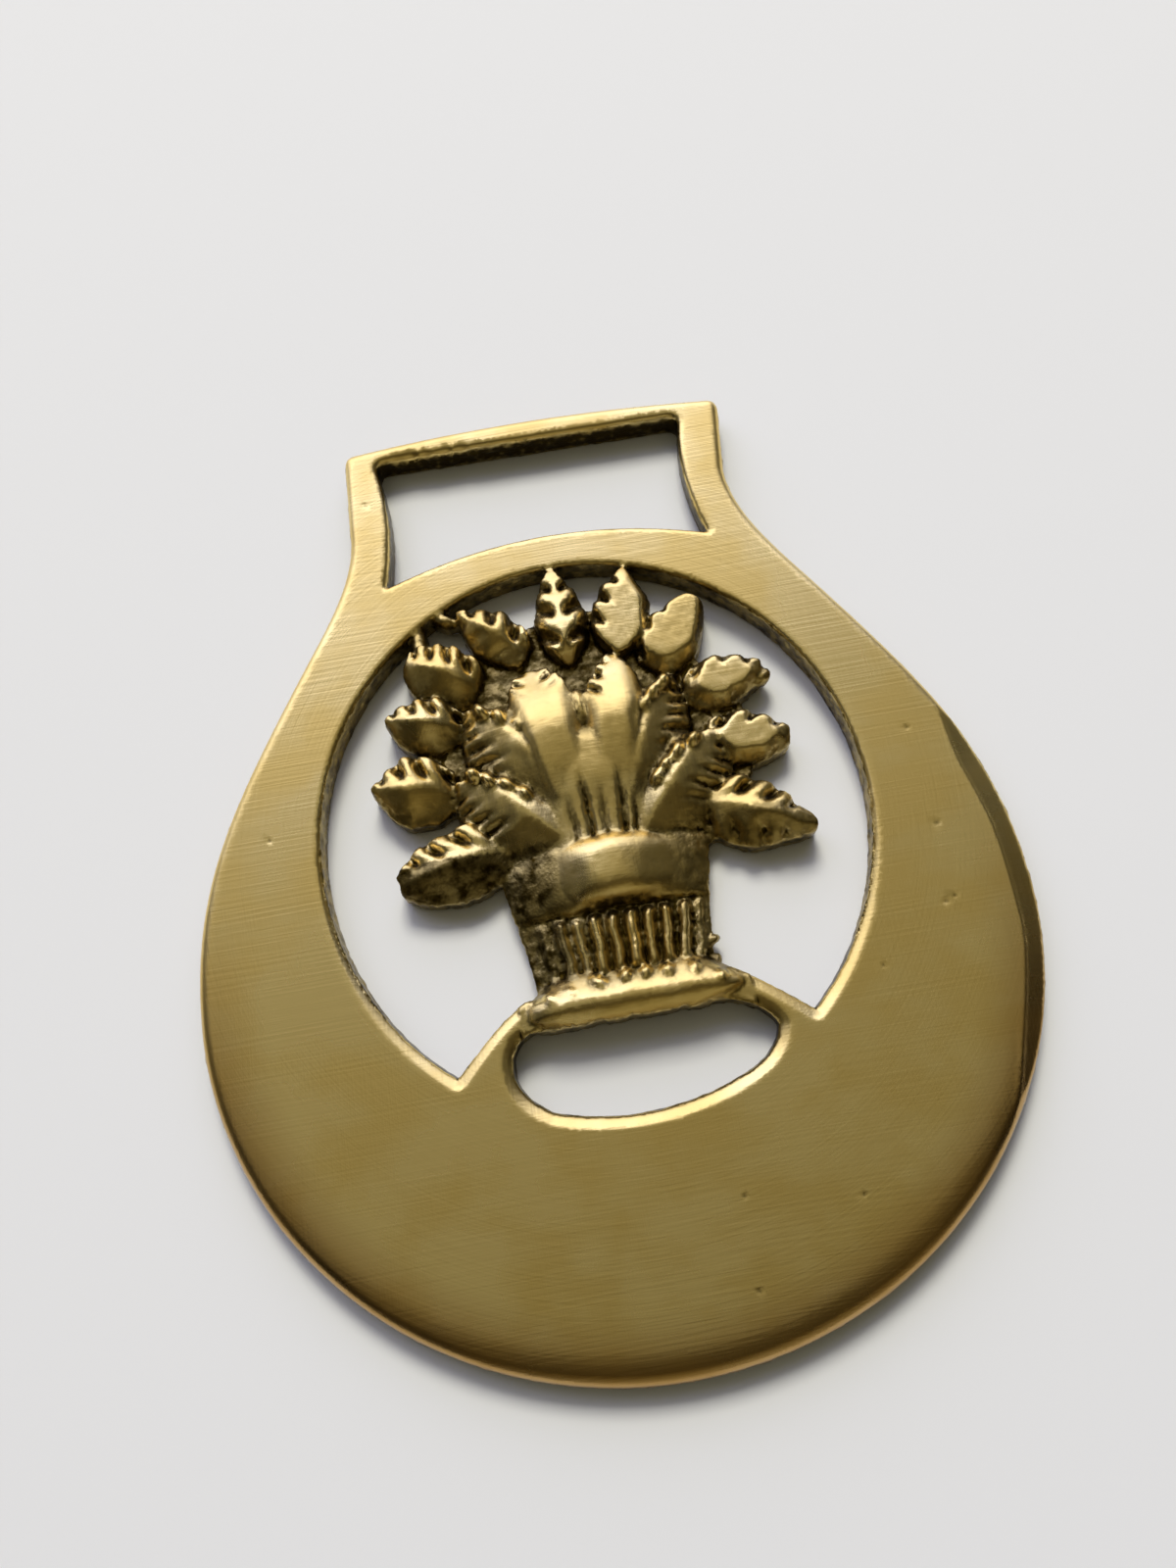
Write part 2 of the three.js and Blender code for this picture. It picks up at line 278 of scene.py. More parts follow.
# %% [markdown]
# ## Roughing out the casting
# The pattern is roughed out from simple closed solids that overlap. They could be joined with booleans,
# but the seams would stay as sharp as a machined part's. Sand casting rounds every inner corner, so the
# solids are all put in one mesh here, and a voxel remesh then melts them into a single skin.

# %% The rough casting
rough = bmesh.new()


def pour(solid):
    """Adds a finished solid to the rough casting."""
    bmesh.ops.recalc_face_normals(solid, faces=solid.faces[:])
    mesh = bpy.data.meshes.new("solid")
    solid.to_mesh(mesh)
    rough.from_mesh(mesh)
    bpy.data.meshes.remove(mesh)
    solid.free()


print("the rough casting starts with", len(rough.faces), "faces")

# %% [markdown]
# The plate is a flat slab with holes. Its face could be drawn as a curve object and filled, but a bmesh
# can fill the outline and its holes in one step, and one extrusion then gives the slab its walls.

# %% The plate
def prism(loops, low, high):
    """A flat plate between two heights. The first loop is its edge and the others are its holes."""
    solid = bmesh.new()
    for loop in loops:
        corners = [solid.verts.new((p[0], p[1], low)) for p in loop]
        for a, b in zip(corners, corners[1:] + corners[:1]):
            solid.edges.new((a, b))
    bmesh.ops.triangle_fill(solid, use_beauty=True, use_dissolve=False, edges=solid.edges[:])
    grown = bmesh.ops.extrude_face_region(solid, geom=solid.faces[:])
    lifted = [v for v in grown["geom"] if isinstance(v, bmesh.types.BMVert)]
    bmesh.ops.translate(solid, verts=lifted, vec=(0, 0, high - low))
    return solid


plate = prism([outline, slot_edge, opening_edge, small_edge], 0, PLATE_THICKNESS)
pour(plate)
print("the plate has", len(rough.faces), "faces")

# %% [markdown]
# ## The figure
# A relief is a height over every place on the plate, so it can be carved by functions. Each ear of corn
# is worked out in its own directions, along and across the line from its foot to its tip: a pointed
# outline, a ridge like a roof's, and grains that leave the ridge like the bones of a herring. Boxes and
# spheres could stand for the grains, but they would look set on, while a groove looks cut.
#
# These are the numbers of an ear, in millimetres unless they are shares:
# - tip, foot and width say where it lies; belly, foot_share, blunt and point give its outline's fullness.
# - crest, crest_at, tip_z and foot_z are the ridge's heights, and flat is where a file stopped it.
# - ridge moves the ridge to one side; slopes and edges give each side's fullness and its lowest height.
# - first, pitch and grained say where the grooves begin, how far apart they are and where they end;
#   depths is how deep they are on each side, and inner how far out from the ridge they start.

# %% An ear's outline and its ridge
EAR = {
    "belly": 0.45, "foot_share": 0.5, "blunt": 0.0, "point": 1.6,
    "crest": 4.7, "crest_at": 4.0, "tip_z": 3.2, "foot_z": 2.6, "flat": 9.0,
    "ridge": 0.0, "slopes": (1.5, 1.5), "edges": (2.2, 3.4),
    "first": 3.2, "pitch": 2.1, "grained": 20.0, "depths": (0.75, 0.75), "inner": 0.15,
}


def leaf_half_width(share, row):
    """Half the width of a pointed leaf at some share of the way from its foot to its tip."""
    half, belly = row["width"] / 2, row["belly"]
    if share < belly:
        return half * (1 - (1 - row["foot_share"]) * ((belly - share) / belly) ** 2.4)
    return half * (1 - (1 - row["blunt"]) * ((share - belly) / (1 - belly)) ** row["point"])


def ridge_height(behind, length, row):
    """The ridge's height at some distance behind the tip. It climbs fast, then falls to the foot."""
    crest_at = row["crest_at"]
    if behind < crest_at:
        return blend(row["tip_z"], row["crest"], 1 - (1 - behind / crest_at) ** 1.7)
    fall = (behind - crest_at) / (length - crest_at)
    return blend(row["crest"], row["foot_z"], fall ** 1.5)


print("an ear has", len(EAR), "usual values")

# %% [markdown]
# The grooves leave the ridge at an angle, so a groove is a wave along the ear that lags behind as it goes
# outward. The wave fades in behind the tip and out where the grains end.

# %% An ear's grooves
GRAIN_SLOPE = math.tan(math.radians(60))


def groove_wave(turn, row):
    """From 0 on a grain to 1 in a groove, at some distance behind the tip along the grain."""
    first, pitch, last = row["first"], row["pitch"], row["grained"]
    wave = 0.5 - 0.5 * math.cos(2 * math.pi * (turn - first) / pitch)
    wave *= smooth_step(last + 1, last - 1, turn)
    return wave * smooth_step(first - 0.9 * pitch, first - 0.4 * pitch, turn)


print("grains lean", round(90 - math.degrees(math.atan(GRAIN_SLOPE))), "degrees toward the tip")

# %% [markdown]
# An ear is carved in the order a carver would work: first the outline, then the slopes from the ridge to
# the sides, then the grooves, and last the file. Raised to a power, the wave becomes narrow cuts between
# broad grains. The cuts grow shallow toward the outline, so the grains end in a soft scallop there.

# %% The whole ear
GROOVE_SHARPNESS = 2.2
NOTCH = 0.1
GROOVE_AT_EDGE = 0.45
GRAIN_SWELL = 0.3


def ear_carving(changes):
    """A function that gives the ear's height at a place, or None beside it."""
    row = {**EAR, **changes}
    tip, foot = Vector(row["tip"]), Vector(row["foot"])
    length = (tip - foot).length
    axis = (tip - foot) / length
    half = row["width"] / 2

    def height(x, y):
        east, north = x - foot.x, y - foot.y
        along = east * axis.x + north * axis.y
        across = north * axis.x - east * axis.y
        if along < 0 or along > length or abs(across) > half:
            return None
        full = leaf_half_width(along / length, row)
        ridge = row["ridge"] * full
        side = abs(across - ridge)
        hand = 0 if across > ridge else 1
        room = full + ridge if hand else full - ridge
        depth = row["depths"][hand]
        behind = length - along
        wave = groove_wave(behind + side / GRAIN_SLOPE, row)
        groove = wave ** GROOVE_SHARPNESS
        edge = room - NOTCH * min(0.8, depth) * wave
        if side >= edge:
            return None
        line = ridge_height(behind, length, row)
        rim = min(row["edges"][hand], line)
        top = rim + (line - rim) * (1 - (side / edge) ** row["slopes"][hand])
        cut = depth * groove * smooth_step(row["inner"] * room, (row["inner"] + 0.4) * room, side)
        top -= cut * blend(1.0, GROOVE_AT_EDGE, smooth_step(0.55, 1.0, side / edge))
        top += GRAIN_SWELL * min(1.0, depth) * (1 - groove) * smooth_step(0.2, 0.6, side / edge)
        return min(top, row["flat"])

    return height


print("grooves notch an ear's outline by up to", 0.8 * NOTCH, "mm")

# %% [markdown]
# The outer ears stand in a fan round the edge. The ones on the right were caught by the finisher's file,
# which left flats on them as bright as the plate, and the one at the top ran into the ring when the
# brass was poured. In each pair of numbers the first is for the side to the left of the ear's heading.

# %% The outer ears
OUTER_EARS = [
    {"tip": (-18.4, -3.0), "foot": (-7.5, -0.8), "width": 6.8, "blunt": 0.3, "point": 2.2,
     "slopes": (1.1, 1.3), "pitch": 2.6, "first": 4.0, "depths": (0.0, 0.9), "crest_at": 5.0},
    {"tip": (-20.0, 6.6), "foot": (-12.0, 5.1), "width": 6.8, "belly": 0.5, "point": 1.9,
     "slopes": (1.15, 1.3), "pitch": 2.2, "first": 2.6, "depths": (0.0, 1.0)},
    {"tip": (-18.0, 13.0), "foot": (-10.6, 11.2), "width": 5.6, "belly": 0.5, "point": 1.9,
     "slopes": (1.15, 1.3), "pitch": 2.0, "first": 2.5, "depths": (0.0, 0.95)},
    {"tip": (-15.2, 18.8), "foot": (-8.4, 14.8), "width": 6.2, "belly": 0.5, "blunt": 0.4, "point": 2.0,
     "slopes": (1.2, 1.4), "pitch": 1.9, "first": 2.1, "depths": (0.0, 0.95)},
    {"tip": (-9.8, 22.9), "foot": (-3.4, 17.4), "width": 5.0, "point": 1.9, "slopes": (1.4, 1.8),
     "pitch": 2.5, "first": 3.1, "depths": (0.2, 1.1), "inner": 0.0, "edges": (2.6, 3.1)},
    {"tip": (0.1, 26.2), "foot": (0.4, 15.6), "width": 5.2, "foot_share": 0.2, "point": 1.9,
     "slopes": (2.4, 2.4), "pitch": 2.9, "first": 4.4, "depths": (1.1, 1.1), "inner": 0.0,
     "tip_z": 2.9, "edges": (2.6, 2.6), "crest": 4.9, "crest_at": 8.5},
    {"tip": (7.3, 24.8), "foot": (4.9, 15.6), "width": 5.8, "foot_share": 0.2, "point": 2.2,
     "slopes": (2.6, 2.6), "pitch": 2.4, "first": 3.6, "depths": (1.2, 0.0), "inner": 0.1,
     "flat": 4.0, "edges": (2.6, 2.4), "crest": 5.4, "crest_at": 8.5},
    {"tip": (13.4, 20.2), "foot": (7.8, 13.8), "width": 5.9, "blunt": 0.35, "slopes": (2.0, 1.6),
     "pitch": 2.4, "first": 5.0, "depths": (0.9, 0.0), "inner": 0.4,
     "flat": 3.8, "tip_z": 3.8, "edges": (2.6, 2.2), "crest": 5.6},
    {"tip": (18.4, 12.0), "foot": (10.6, 10.9), "width": 5.2, "blunt": 0.3, "slopes": (1.5, 1.3),
     "pitch": 2.6, "depths": (0.8, 0.2), "inner": 0.3,
     "flat": 3.8, "tip_z": 2.6, "edges": (3.0, 2.2), "crest": 5.0},
    {"tip": (19.4, 4.9), "foot": (11.6, 6.0), "width": 5.4, "blunt": 0.35, "slopes": (1.5, 1.3),
     "pitch": 2.6, "depths": (1.0, 0.2), "inner": 0.2,
     "flat": 3.8, "tip_z": 2.7, "edges": (3.0, 2.2), "crest": 5.0},
    {"tip": (20.0, -4.1), "foot": (9.6, 0.5), "width": 6.6, "blunt": 0.12, "slopes": (1.3, 1.15),
     "pitch": 2.5, "first": 4.6, "depths": (1.1, 0.5), "inner": 0.2, "edges": (3.0, 2.2), "crest_at": 5.0},
]
carvings = [ear_carving(row) for row in OUTER_EARS]
print("carved", len(carvings), "outer ears")

# %% [markdown]
# The inner ears are larger and their grooves are finer. They run down into the straw above the tie, and
# their feet lie side by side like the ribs of a fan. They share most of their numbers, so a second set of
# usual values keeps the rows short.

# %% The inner ears
INNER_EAR = {
    "belly": 0.66, "foot_share": 0.45, "foot_z": 4.0, "tip_z": 3.3, "slopes": (1.3, 1.3),
    "first": 1.6, "grained": 9.0, "inner": 0.25,
}
INNER_EARS = [
    {"tip": (-12.2, 5.8), "foot": (-3.0, -2.2), "width": 7.4, "ridge": -0.35, "pitch": 1.7,
     "depths": (0.45, 0.4), "edges": (2.4, 3.6), "crest": 5.1, "crest_at": 7.0},
    {"tip": (-10.4, 13.0), "foot": (-0.8, -0.6), "width": 7.8, "ridge": -0.35, "pitch": 1.7,
     "depths": (0.45, 0.35), "edges": (2.4, 3.8), "crest": 5.3, "crest_at": 8.0},
    {"tip": (-3.6, 15.5), "foot": (-1.2, 1.0), "width": 6.3, "slopes": (3.2, 2.4),
     "depths": (0.5, 0.5), "blunt": 0.5, "point": 2.6, "pitch": 1.4, "first": 1.3, "grained": 3.5,
     "inner": 0.2, "foot_z": 4.2, "foot_share": 0.6, "edges": (3.6, 4.4), "crest": 5.9, "crest_at": 7.0},
    {"tip": (4.5, 15.9), "foot": (3.0, 1.0), "width": 5.7, "slopes": (2.4, 3.2),
     "depths": (0.8, 0.0), "blunt": 0.15, "point": 2.0, "pitch": 1.9, "first": 2.6, "grained": 6,
     "inner": 0.3, "foot_z": 4.2, "foot_share": 0.6, "edges": (4.4, 3.6), "crest": 5.9, "crest_at": 7.0},
    {"tip": (9.8, 13.1), "foot": (3.4, -1.0), "width": 6.4, "ridge": 0.35, "pitch": 1.6,
     "depths": (0.45, 0.5), "edges": (3.8, 2.4), "crest": 5.2, "crest_at": 8.0},
    {"tip": (13.3, 6.6), "foot": (5.0, -2.2), "width": 7.0, "ridge": 0.35, "pitch": 1.6,
     "depths": (0.45, 0.5), "edges": (3.6, 2.4), "crest": 5.1, "crest_at": 7.0},
]
carvings += [ear_carving({**INNER_EAR, **row}) for row in INNER_EARS]
print("carved", len(INNER_EARS), "inner ears")

# %% [markdown]
# Along the upper edge of the inner ears stand separate fat grains, which catch the light as a row of
# beads. Each row of numbers is a grain's middle, its heading in degrees and its length.

# %% The raised grains
GRAINS = [
    (-8.6, 12.0, 118, 2.3), (-6.9, 11.0, 120, 2.8), (-5.2, 9.9, 122, 2.8), (-3.9, 8.6, 125, 2.0),
    (-10.2, 6.0, 125, 2.0), (-8.7, 5.2, 125, 2.6), (-7.1, 4.4, 125, 2.7), (-5.7, 3.3, 128, 2.4),
    (8.6, 11.7, 62, 2.2), (7.5, 10.8, 62, 2.6), (6.5, 9.7, 60, 2.6), (5.4, 8.4, 60, 2.3),
    (10.4, 5.6, 60, 2.2), (8.6, 4.7, 58, 2.8), (7.4, 3.7, 55, 2.2), (6.5, 2.6, 55, 2.2),
    (0.7, 10.6, 92, 4.5),
]
GRAIN_HALF_WIDTH = 0.72
GRAIN_FOOT_Z, GRAIN_RISE = 3.6, 1.65
GRAIN_REACH = 2.5


def bead_share(x, y, middle_x, middle_y, heading, half_length, half_width):
    """From 0 in the middle of a long bead to 1 at its edge, seen from above."""
    turn = math.radians(heading)
    east, north = x - middle_x, y - middle_y
    along = (east * math.cos(turn) + north * math.sin(turn)) / half_length
    across = (north * math.cos(turn) - east * math.sin(turn)) / half_width
    return along * along + across * across


def grains(x, y):
    best = None
    for grain_x, grain_y, heading, length in GRAINS:
        if abs(x - grain_x) > GRAIN_REACH or abs(y - grain_y) > GRAIN_REACH:
            continue
        reach = bead_share(x, y, grain_x, grain_y, heading, length / 2, GRAIN_HALF_WIDTH)
        if reach < 1:
            best = max(best or 0.0, GRAIN_FOOT_Z + GRAIN_RISE * (1 - reach) ** 0.6)
    return best


carvings.append(grains)
print("set", len(GRAINS), "raised grains")

# %% [markdown]
# Between the inner ears and the tie the straw is a smooth fan, which splits into flutes where the band
# grips it. Its outline is a few rows of height, left edge and right edge, joined by straight lines.

# %% The straw above the tie
FAN_EDGES = [(-3.5, -4.3, 5.4), (2.0, -5.0, 6.3), (5.0, -5.7, 7.0), (8.5, -5.4, 6.6), (13.0, -3.6, 4.8)]
FLUTES = [(-1.9, 0.4, 3.0), (-0.3, 0.7, 5.0), (1.2, 0.35, 3.5), (2.8, 0.8, 5.5), (3.9, 0.6, 4.0)]
FLUTE_HALF_WIDTH = 0.45
FLUTE_LENGTH = 3.5


def between(rows, y):
    """The left and right edges at a height, from rows of height, left and right."""
    for (y0, left0, right0), (y1, left1, right1) in zip(rows, rows[1:]):
        if y0 <= y <= y1:
            share = (y - y0) / (y1 - y0)
            return blend(left0, left1, share), blend(right0, right1, share)
    return None


def off_middle(rows, x, y):
    """How far a place is from the middle line, from 0 there to 1 at the edges, or None outside."""
    edges = between(rows, y)
    if edges is None:
        return None
    off = abs(2 * x - edges[0] - edges[1]) / (edges[1] - edges[0])
    return off if off < 1 else None


def fan(x, y):
    off = off_middle(FAN_EDGES, x, y)
    if off is None:
        return None
    middle = blend(4.6, 5.35, smooth_step(-1, 5, y)) - 2.2 * smooth_step(7.0, 11.5, y)
    low = min(3.4, middle)
    top = low + (middle - low) * (1 - off ** 2.6)
    for flute_x, depth, flute_top in FLUTES:
        gap = abs(x - flute_x - 0.03 * (flute_x - 0.6) * y)
        cut = depth * max(0.0, 1 - gap / FLUTE_HALF_WIDTH)
        top -= cut * smooth_step(flute_top, flute_top - FLUTE_LENGTH, y)
    return top


carvings.append(fan)
print("the straw has", len(FLUTES), "flutes")

# %% [markdown]
# The tie is a band that swells over the straw like a barrel's hoop, with a knot a little left of its
# middle. The cut ends of the straw stand below it as ribs on a rounded stub. Each row of ribs gives its
# place, how far it stands out and half its width.

# %% The tie and the stub
BARREL_EDGES = [(-15.6, -7.3, 8.6), (-11, -8.0, 8.5), (-7, -8.8, 9.5), (-4, -9.3, 10.1), (-1.3, -8.4, 9.4)]
BARREL_MIDDLE_X = 1.0
TIE_TOP_Y, TIE_FOOT_Y = -1.4, -8.1
KNOT_X, KNOT_Y, KNOT_RISE = 0.4, -4.6, 1.15
RIBS = [
    (-6.1, 0.3, 0.5), (-4.4, 0.8, 0.55), (-2.9, 0.5, 0.5), (-1.4, 0.9, 0.6), (0.2, 0.9, 0.6),
    (1.8, 1.2, 0.75), (3.3, 0.9, 0.6), (4.8, 1.1, 0.62), (6.4, 0.8, 0.6), (7.8, 0.4, 0.45),
]


def tie_top(x, y, swell):
    """The band's height: a hoop with rounded borders, highest along its middle and at the knot."""
    down = max(0.0, (y - TIE_TOP_Y) / (TIE_FOOT_Y - TIE_TOP_Y))
    hoop = (1 - abs(2 * down - 1) ** 3.4) ** 0.5
    shoulder = blend(0.42, 0.85, smooth_step(-2.6, -5.5, x))
    top = 2.0 + 2.8 * swell * blend(shoulder if down < 0.5 else 0.42, 1.0, hoop)
    knot = ((x - KNOT_X) / (4.2 if x < KNOT_X else 6.0)) ** 2 + abs((y - KNOT_Y) / 3.4) ** 4
    return top + KNOT_RISE * max(0.0, 1 - knot) ** 1.1


def stub_top(x, y, swell):
    """The stub's height, with its ribs fading out at the band and at the foot."""
    top = 1.8 + 1.3 * swell
    ends = smooth_step(-8.2, -9.0, y) * smooth_step(-14.4, -13.4, y)
    for rib_x, rise, half in RIBS:
        gap = abs(x - rib_x - 0.02 * rib_x * (y + 11)) / half
        if gap < 1:
            top += rise * (1 - gap * gap) * ends
    return top


def barrel(x, y):
    if off_middle(BARREL_EDGES, x, y) is None:
        return None
    left, right = between(BARREL_EDGES, y)
    edge = right if x > BARREL_MIDDLE_X else left
    swell = 1 - ((x - BARREL_MIDDLE_X) / (edge - BARREL_MIDDLE_X)) ** 1.8
    return tie_top(x, y, swell) if y > TIE_FOOT_Y else stub_top(x, y, swell)


carvings.append(barrel)
print("the stub has", len(RIBS), "ribs")

# %% [markdown]
# The sheaf stands on a roll of metal, whose upper edge is cut into lobes that lean outward. The lobes are
# beads like the raised grains, sunk in the roll.

# %% The foot
FOOT_EDGES = [
    (-18.0, -7.6, 8.4), (-17.5, -8.9, 10.2), (-16.6, -9.8, 11.6), (-15.6, -9.4, 10.8), (-14.6, -7.6, 9.2),
    (-13.6, -6.4, 7.8),
]
FOOT_CREST_Y = -16.0
LOBES = [
    (-6.2, -15.3, -42, 2.0), (-4.2, -15.1, -36, 2.4), (-1.9, -14.4, -48, 2.2), (0.4, -14.3, 75, 1.6),
    (2.2, -14.3, 90, 1.6), (4.1, -14.5, 120, 1.8), (6.5, -14.8, 97, 1.9), (8.6, -15.6, 110, 1.3),
]
LOBE_HALF_WIDTH = 0.85
LOBE_SINK = 0.25


def foot_roll(x, y):
    off = off_middle(FOOT_EDGES, x, y)
    if off is None:
        return None
    above = max(0.0, y - FOOT_CREST_Y) / 2.4
    below = max(0.0, FOOT_CREST_Y - y) / 2.0
    top = 1.8 + 2.9 * (1 - off ** 7) * (1 - 0.5 * above ** 1.4 - 0.5 * below ** 2.2)
    for lobe_x, lobe_y, heading, length in LOBES:
        reach = bead_share(x, y, lobe_x, lobe_y - LOBE_SINK, heading, 0.62 * length, LOBE_HALF_WIDTH)
        if reach < 1:
            top = max(top, 2.9 + 1.7 * (1 - reach) ** 0.6)
    return top


carvings.append(foot_roll)
print("the foot has", len(LOBES), "lobes")

# %% [markdown]
# The figure's height is the highest of all the carvings. A fine grid is raised to it, what lies beside
# the ears is cut off, and the rest is extruded downward into a closed block. A sculpt would do as well,
# but functions can be changed one ear at a time.

# %% The carved block
CUT = 0.17
BLOCK_WIDE, BLOCK_TALL, BLOCK_MIDDLE_Y = 42.0, 46.0, 4.5
BLOCK_FOOT_Z = 0.12
ASTRAY = 0.22
ASTRAY_SIZE = 2.2


def relief(x, y):
    """The carved height at a place, or None where nothing stands. A slow noise leads the tool astray."""
    place = Vector((x, y, 0))
    x += ASTRAY * noise.noise(place / ASTRAY_SIZE)
    y += ASTRAY * noise.noise(place / ASTRAY_SIZE + Vector((0, 0, 9)))
    heights = [h for h in (carving(x, y) for carving in carvings) if h is not None]
    return max(heights) if heights else None


def carved_block():
    solid = bmesh.new()
    columns, lines = round(BLOCK_WIDE / CUT), round(BLOCK_TALL / CUT)
    bmesh.ops.create_grid(solid, x_segments=columns, y_segments=lines, size=0.5)
    bmesh.ops.scale(solid, vec=(BLOCK_WIDE, BLOCK_TALL, 1), verts=solid.verts[:])
    bmesh.ops.translate(solid, vec=(0, BLOCK_MIDDLE_Y, 0), verts=solid.verts[:])
    spare = []
    for v in solid.verts:
        top = relief(v.co.x, v.co.y)
        if top is None:
            spare.append(v)
        else:
            v.co.z = top
    bmesh.ops.delete(solid, geom=spare, context="VERTS")
    grown = bmesh.ops.extrude_face_region(solid, geom=solid.faces[:], use_keep_orig=True)
    for v in grown["geom"]:
        if isinstance(v, bmesh.types.BMVert):
            v.co.z = BLOCK_FOOT_Z
    return solid


pour(carved_block())
print("carved", len(carvings), "forms,", len(rough.faces), "faces so far")

# %% [markdown]
# Between the ears the sand left a thin web of rough metal, which ties them together and darkens behind
# them. It is one more flat slab, and the figure rises out of it.

# %% The web between the ears
WEB_THICKNESS = 1.9
WEB_RIGHT = [
    (-7.3, -15.6), (8.3, -15.6), (9.0, -9.0), (9.8, -4.0), (12.5, -2.0), (15.5, 2.5),
    (15.8, 8.8), (12.6, 14.0), (8.9, 18.9), (3.2, 21.3),
]
WEB_LEFT = [
    (-3.0, 20.6), (-9.2, 18.4), (-12.4, 13.8), (-14.4, 8.8), (-12.4, 3.0), (-11.5, -1.5), (-8.9, -4.0),
    (-8.2, -9.0),
]
pour(prism([WEB_RIGHT + WEB_LEFT], BLOCK_FOOT_Z, WEB_THICKNESS))
print("the web's edge has", len(WEB_RIGHT + WEB_LEFT), "corners")

# %% [markdown]
# Small lumps and burrs stay where nobody cleaned the casting, and two of them bridge the gap between the
# upper left ears and the ring. Each is a sphere that was stretched, turned and set down.

# %% The small lumps left by the mould
LUMPS = [
    # middle, heading, length, width, low, high
    ((-13.6, 20.6), 86, 4.6, 1.7, BLOCK_FOOT_Z, 3.1),
    ((-10.9, 22.6), 150, 3.0, 1.6, BLOCK_FOOT_Z, 3.2),
    ((18.0, 11.2), 30, 2.4, 1.4, 0.8, 3.0),
    ((19.3, -3.6), 20, 1.8, 1.5, 0.8, 3.2),
    ((8.7, -12.3), 15, 1.6, 0.8, 0.6, 2.2),
    ((8.6, -14.3), 60, 1.7, 0.9, 0.6, 2.2),
]
for middle, heading, length, width, low, high in LUMPS:
    lump = bmesh.new()
    bmesh.ops.create_uvsphere(lump, u_segments=16, v_segments=10, radius=1)
    bmesh.ops.scale(lump, vec=(length / 2, width / 2, (high - low) / 2), verts=lump.verts[:])
    turn = Matrix.Rotation(math.radians(heading), 4, "Z")
    move = Matrix.Translation((middle[0], middle[1], (high + low) / 2))
    bmesh.ops.transform(lump, matrix=move @ turn, verts=lump.verts[:])
    pour(lump)
print("the rough casting has", len(rough.faces), "faces")

# %% [markdown]
# ## Melting the solids together
# The Remesh modifier turns whatever the closed solids enclose into one even skin. Its voxels are fine
# enough to keep a grain of corn, which is about a millimetre across. A little smoothing then rounds the
# edges and the inner corners, as the sand and the first polishing did.

# %% One skin
VOXEL = 0.17


def as_object(name, solid):
    mesh = bpy.data.meshes.new(name)
    solid.to_mesh(mesh)
    solid.free()
    piece = bpy.data.objects.new(name, mesh)
    bpy.context.scene.collection.objects.link(piece)
    return piece


def settle(piece):
    """Makes the result of a piece's modifiers its own mesh."""
    graph = bpy.context.evaluated_depsgraph_get()
    final = bpy.data.meshes.new_from_object(piece.evaluated_get(graph))
    old = piece.data
    piece.modifiers.clear()
    piece.data = final
    bpy.data.meshes.remove(old)
    print(piece.name, "has", len(final.polygons), "faces")


brass = as_object("horse_brass_casting", rough)
melt = brass.modifiers.new("melt", "REMESH")
melt.mode = "VOXEL"
melt.voxel_size = VOXEL
melt.use_smooth_shade = True
settle(brass)

# %% [markdown]
# ## Filing and wear
# The rest is done as a founder's finisher would do it, by moving the skin's points. Each point knows how
# far it is from the plate's edges, so the edges can be rounded, chamfered and worn by real amounts. A
# Bevel modifier would need clean edge loops, which a remeshed skin doesn't have.

# %% Distances to the edges
EDGE_STEP = 0.12


def edge_tree(points):
    """A search tree over places every tenth of a millimetre or so along a closed edge."""
    places = []
    for start, end in zip(points, points[1:] + points[:1]):
        start, end = Vector((start[0], start[1], 0)), Vector((end[0], end[1], 0))
        steps = max(1, round((end - start).length / EDGE_STEP))
        places += [start.lerp(end, n / steps) for n in range(steps)]
    tree = kdtree.KDTree(len(places))
    for n, place in enumerate(places):
        tree.insert(place, n)
    tree.balance()
    return tree


outer_tree = edge_tree(outline)
slot_tree = edge_tree(slot_edge)
opening_tree = edge_tree(opening_edge)
small_tree = edge_tree(small_edge)


def distance(tree, x, y):
    return tree.find((x, y, 0))[2]


print("the middle of the ring is", round(distance(opening_tree, 0, 0), 1), "mm from the nearest edge")

# %% [markdown]
# Two tools shape an edge. A file held flat leaves a chamfer, which falls in a straight line. Handling
# leaves a round, which falls ever faster toward the edge. Each is a drop in height at some distance in.

# %% Rounds and chamfers
def rounded_drop(gap, radius):
    """How far a rounded edge has dropped at some distance in from it."""
    if gap >= radius:
        return 0.0
    return radius - math.sqrt(max(0.0, radius * radius - (radius - gap) ** 2))


def chamfer_drop(gap, width, depth):
    return max(0.0, 1 - gap / width) * depth


print("halfway in, a 1 mm round has dropped", round(rounded_drop(0.5, 1.0), 2), "mm")

# %% [markdown]
# The outer edge is rounded all the way, more so toward the bottom, and crowned at the lower rim. On the
# right a file took a broad chamfer off it, and rubbing has left the chamfer's upper border a little fuller
# than a straight cut. Degrees clockwise from the hanger say where the filing begins and ends.

# %% The outer edge
FILED_FROM, FILED_FULL, FILED_FADES, FILED_TO = 76, 92, 118, 146
FILED_WIDTH, FILED_DEPTH = 2.0, 0.95
BORDER_FULLNESS, BORDER_PLACE, BORDER_WIDTH = 0.14, 2.35, 0.3
CROWN_WIDTH, CROWN_DEPTH = 3.6, 0.35


